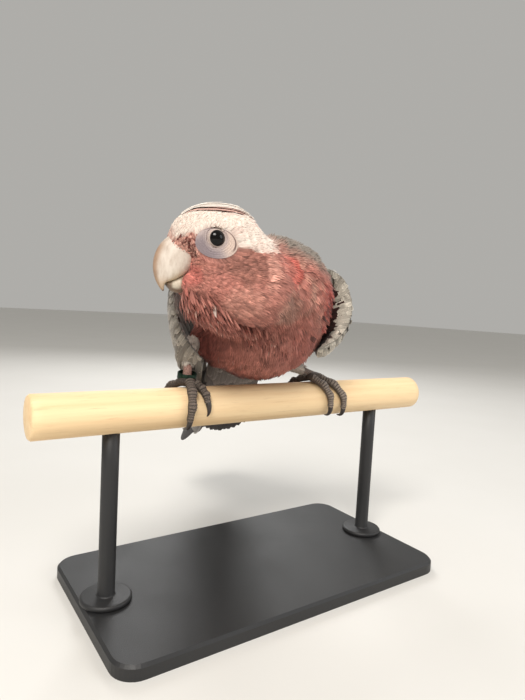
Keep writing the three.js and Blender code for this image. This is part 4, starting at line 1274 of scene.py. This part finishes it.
wood_finish, surface = finish_of("sanded_beech", Roughness=0.55)
own = surface.node("ShaderNodeTexCoord", out=3)
grain = own.stretched(6, 160, 160).noise(1.0, 5, 0.6)
flecks = own.stretched(60, 900, 900).noise(1.0, 3, 0.6)
clouds = own.stretched(4, 20, 20).noise(1.0, 2, 0.5)
tan = grain.step(0.3, 0.75).between("ffe2b4", "ebc390")
tan = tan.mix(rgb("b98a5c"), flecks.step(0.58, 0.75) * 0.35)
surface.feed("Base Color", tan.mix(rgb("f2d7ad"), clouds.step(0.4, 0.7) * 0.4))
surface.feed("Roughness", 0.5 + 0.2 * grain)
surface.feed("Normal", (grain + 0.5 * flecks).relief(0.00015))

stand_finish, surface = finish_of("powder_coat", Metallic=0.0, Roughness=0.45)
own = surface.node("ShaderNodeTexCoord", out=3)
grit = own.noise(2200, 3, 0.6)
haze = own.noise(30, 3)
surface.feed("Base Color", haze.between("1d1d1e", "2a2a2b"))
surface.feed("Roughness", 0.38 + 0.2 * haze)
surface.feed("Normal", grit.relief(0.00012))

low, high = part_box("perch")
half = (high.x - low.x) / 2 / MM
profile = [(0.01, -half), (PERCH_RADIUS - 1.2, -half), (PERCH_RADIUS - 0.9, -half + 0.1),
           (PERCH_RADIUS, -half + 1.2)]
profile += [(PERCH_RADIUS, x) for x in np.linspace(-half + 6, half - 6, 30)]
profile += [(r, -h) for r, h in profile[3::-1]]
points = turned(profile, 96, (1, 0, 0), (0, 0, PERCH_HEIGHT))
mesh = mesh_of("dowel", points.reshape(-1, 3), grid_faces(len(profile), 96, True))
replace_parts(piece_of("dowel", mesh, wood_finish), "perch")

ROD_RADIUS, ROD_AT = 5, 105
collar = [(0.01, 0), (14.6, 0), (15, 0.4), (15, 2), (14.3, 2.8), (13.6, 3), (6, 3), (5.3, 3.2), (5, 3.9)]
for label, side in (("left", 1), ("right", -1)):
    low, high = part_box(f"stand_rod_{label}")
    foot, top = low.z / MM, high.z / MM
    profile = [(r, foot + h) for r, h in collar]
    profile += [(ROD_RADIUS, foot + 40), (ROD_RADIUS, top - 30), (ROD_RADIUS, top), (0.01, top)]
    points = turned(profile, 48, (0, 0, 1), (side * ROD_AT, 0, 0))
    mesh = mesh_of(f"rod_{label}", points.reshape(-1, 3), grid_faces(len(profile), 48, True))
    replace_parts(piece_of(f"rod_{label}", mesh, stand_finish), f"stand_rod_{label}")

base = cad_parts["stand_base"]
base.data.materials.clear()
base.data.materials.append(stand_finish)


# ---------------------------------------------------------------- floor, light and camera
# A plain pale table top under three soft round lamps and an even sky. The camera stands in front of the bird,
# off to its right and level with its breast.

floor_finish, surface = finish_of("pale_floor", Roughness=0.8)
own = surface.node("ShaderNodeTexCoord", out=3)
wash = own.noise(6, 3)
surface.feed("Base Color", wash.between("dcdad5", "e2e0dc"))
corners = np.array([[-1, -1, 0], [1, -1, 0], [1, 1, 0], [-1, 1, 0]]) * 8000.0
floor_mesh = mesh_of("floor", corners, np.array([[0, 1, 2, 3]]))
floor = bpy.data.objects.new("floor", floor_mesh)
bpy.context.scene.collection.objects.link(floor)
floor_mesh.materials.append(floor_finish)

world = bpy.data.worlds.new("studio")
bpy.context.scene.world = world
world.use_nodes = True
world.node_tree.nodes["Background"].inputs["Color"].default_value = rgb("e4e2dd")
world.node_tree.nodes["Background"].inputs["Strength"].default_value = 0.55


LIT_PLACE = Vector((-0.02, 0, 0.19))


def softbox(name, at, size, watts, warmth):
    """A round area lamp, turned to the bird."""
    light = bpy.data.lights.new(name, "AREA")
    light.shape = "DISK"
    light.size = size
    light.energy = watts
    light.color = warmth
    lamp = bpy.data.objects.new(name, light)
    bpy.context.scene.collection.objects.link(lamp)
    lamp.location = at
    lamp.rotation_euler = (LIT_PLACE - lamp.location).to_track_quat("-Z", "Y").to_euler()


softbox("key", (-0.75, -0.75, 1.25), 0.7, 22, (1.0, 0.96, 0.91))
softbox("fill", (0.95, -0.9, 0.7), 0.9, 5, (0.95, 0.97, 1.0))
softbox("rim", (0.5, 1.0, 0.9), 0.6, 7, (1.0, 1.0, 1.0))

FOCAL_PIXELS, FRAME_PIXELS = 526, 700
CAMERA_AT = (-0.2055, -0.2924, 0.18367)
CAMERA_RIGHT = Vector((0.82245, -0.56626, 0.05409))
CAMERA_DOWN = Vector((0.0, -0.09509, -0.99547))
lens = bpy.data.cameras.new("camera")
lens.sensor_width = 36
lens.lens = lens.sensor_width * FOCAL_PIXELS / FRAME_PIXELS
lens.clip_start = 0.01
camera = bpy.data.objects.new("camera", lens)
bpy.context.scene.collection.objects.link(camera)
forward = CAMERA_DOWN.cross(CAMERA_RIGHT) * -1
turned_to = Matrix((CAMERA_RIGHT, -CAMERA_DOWN, -forward)).transposed().to_4x4()
camera.matrix_world = Matrix.Translation(CAMERA_AT) @ turned_to
bpy.context.scene.camera = camera
bpy.context.scene.view_settings.view_transform = "Standard"
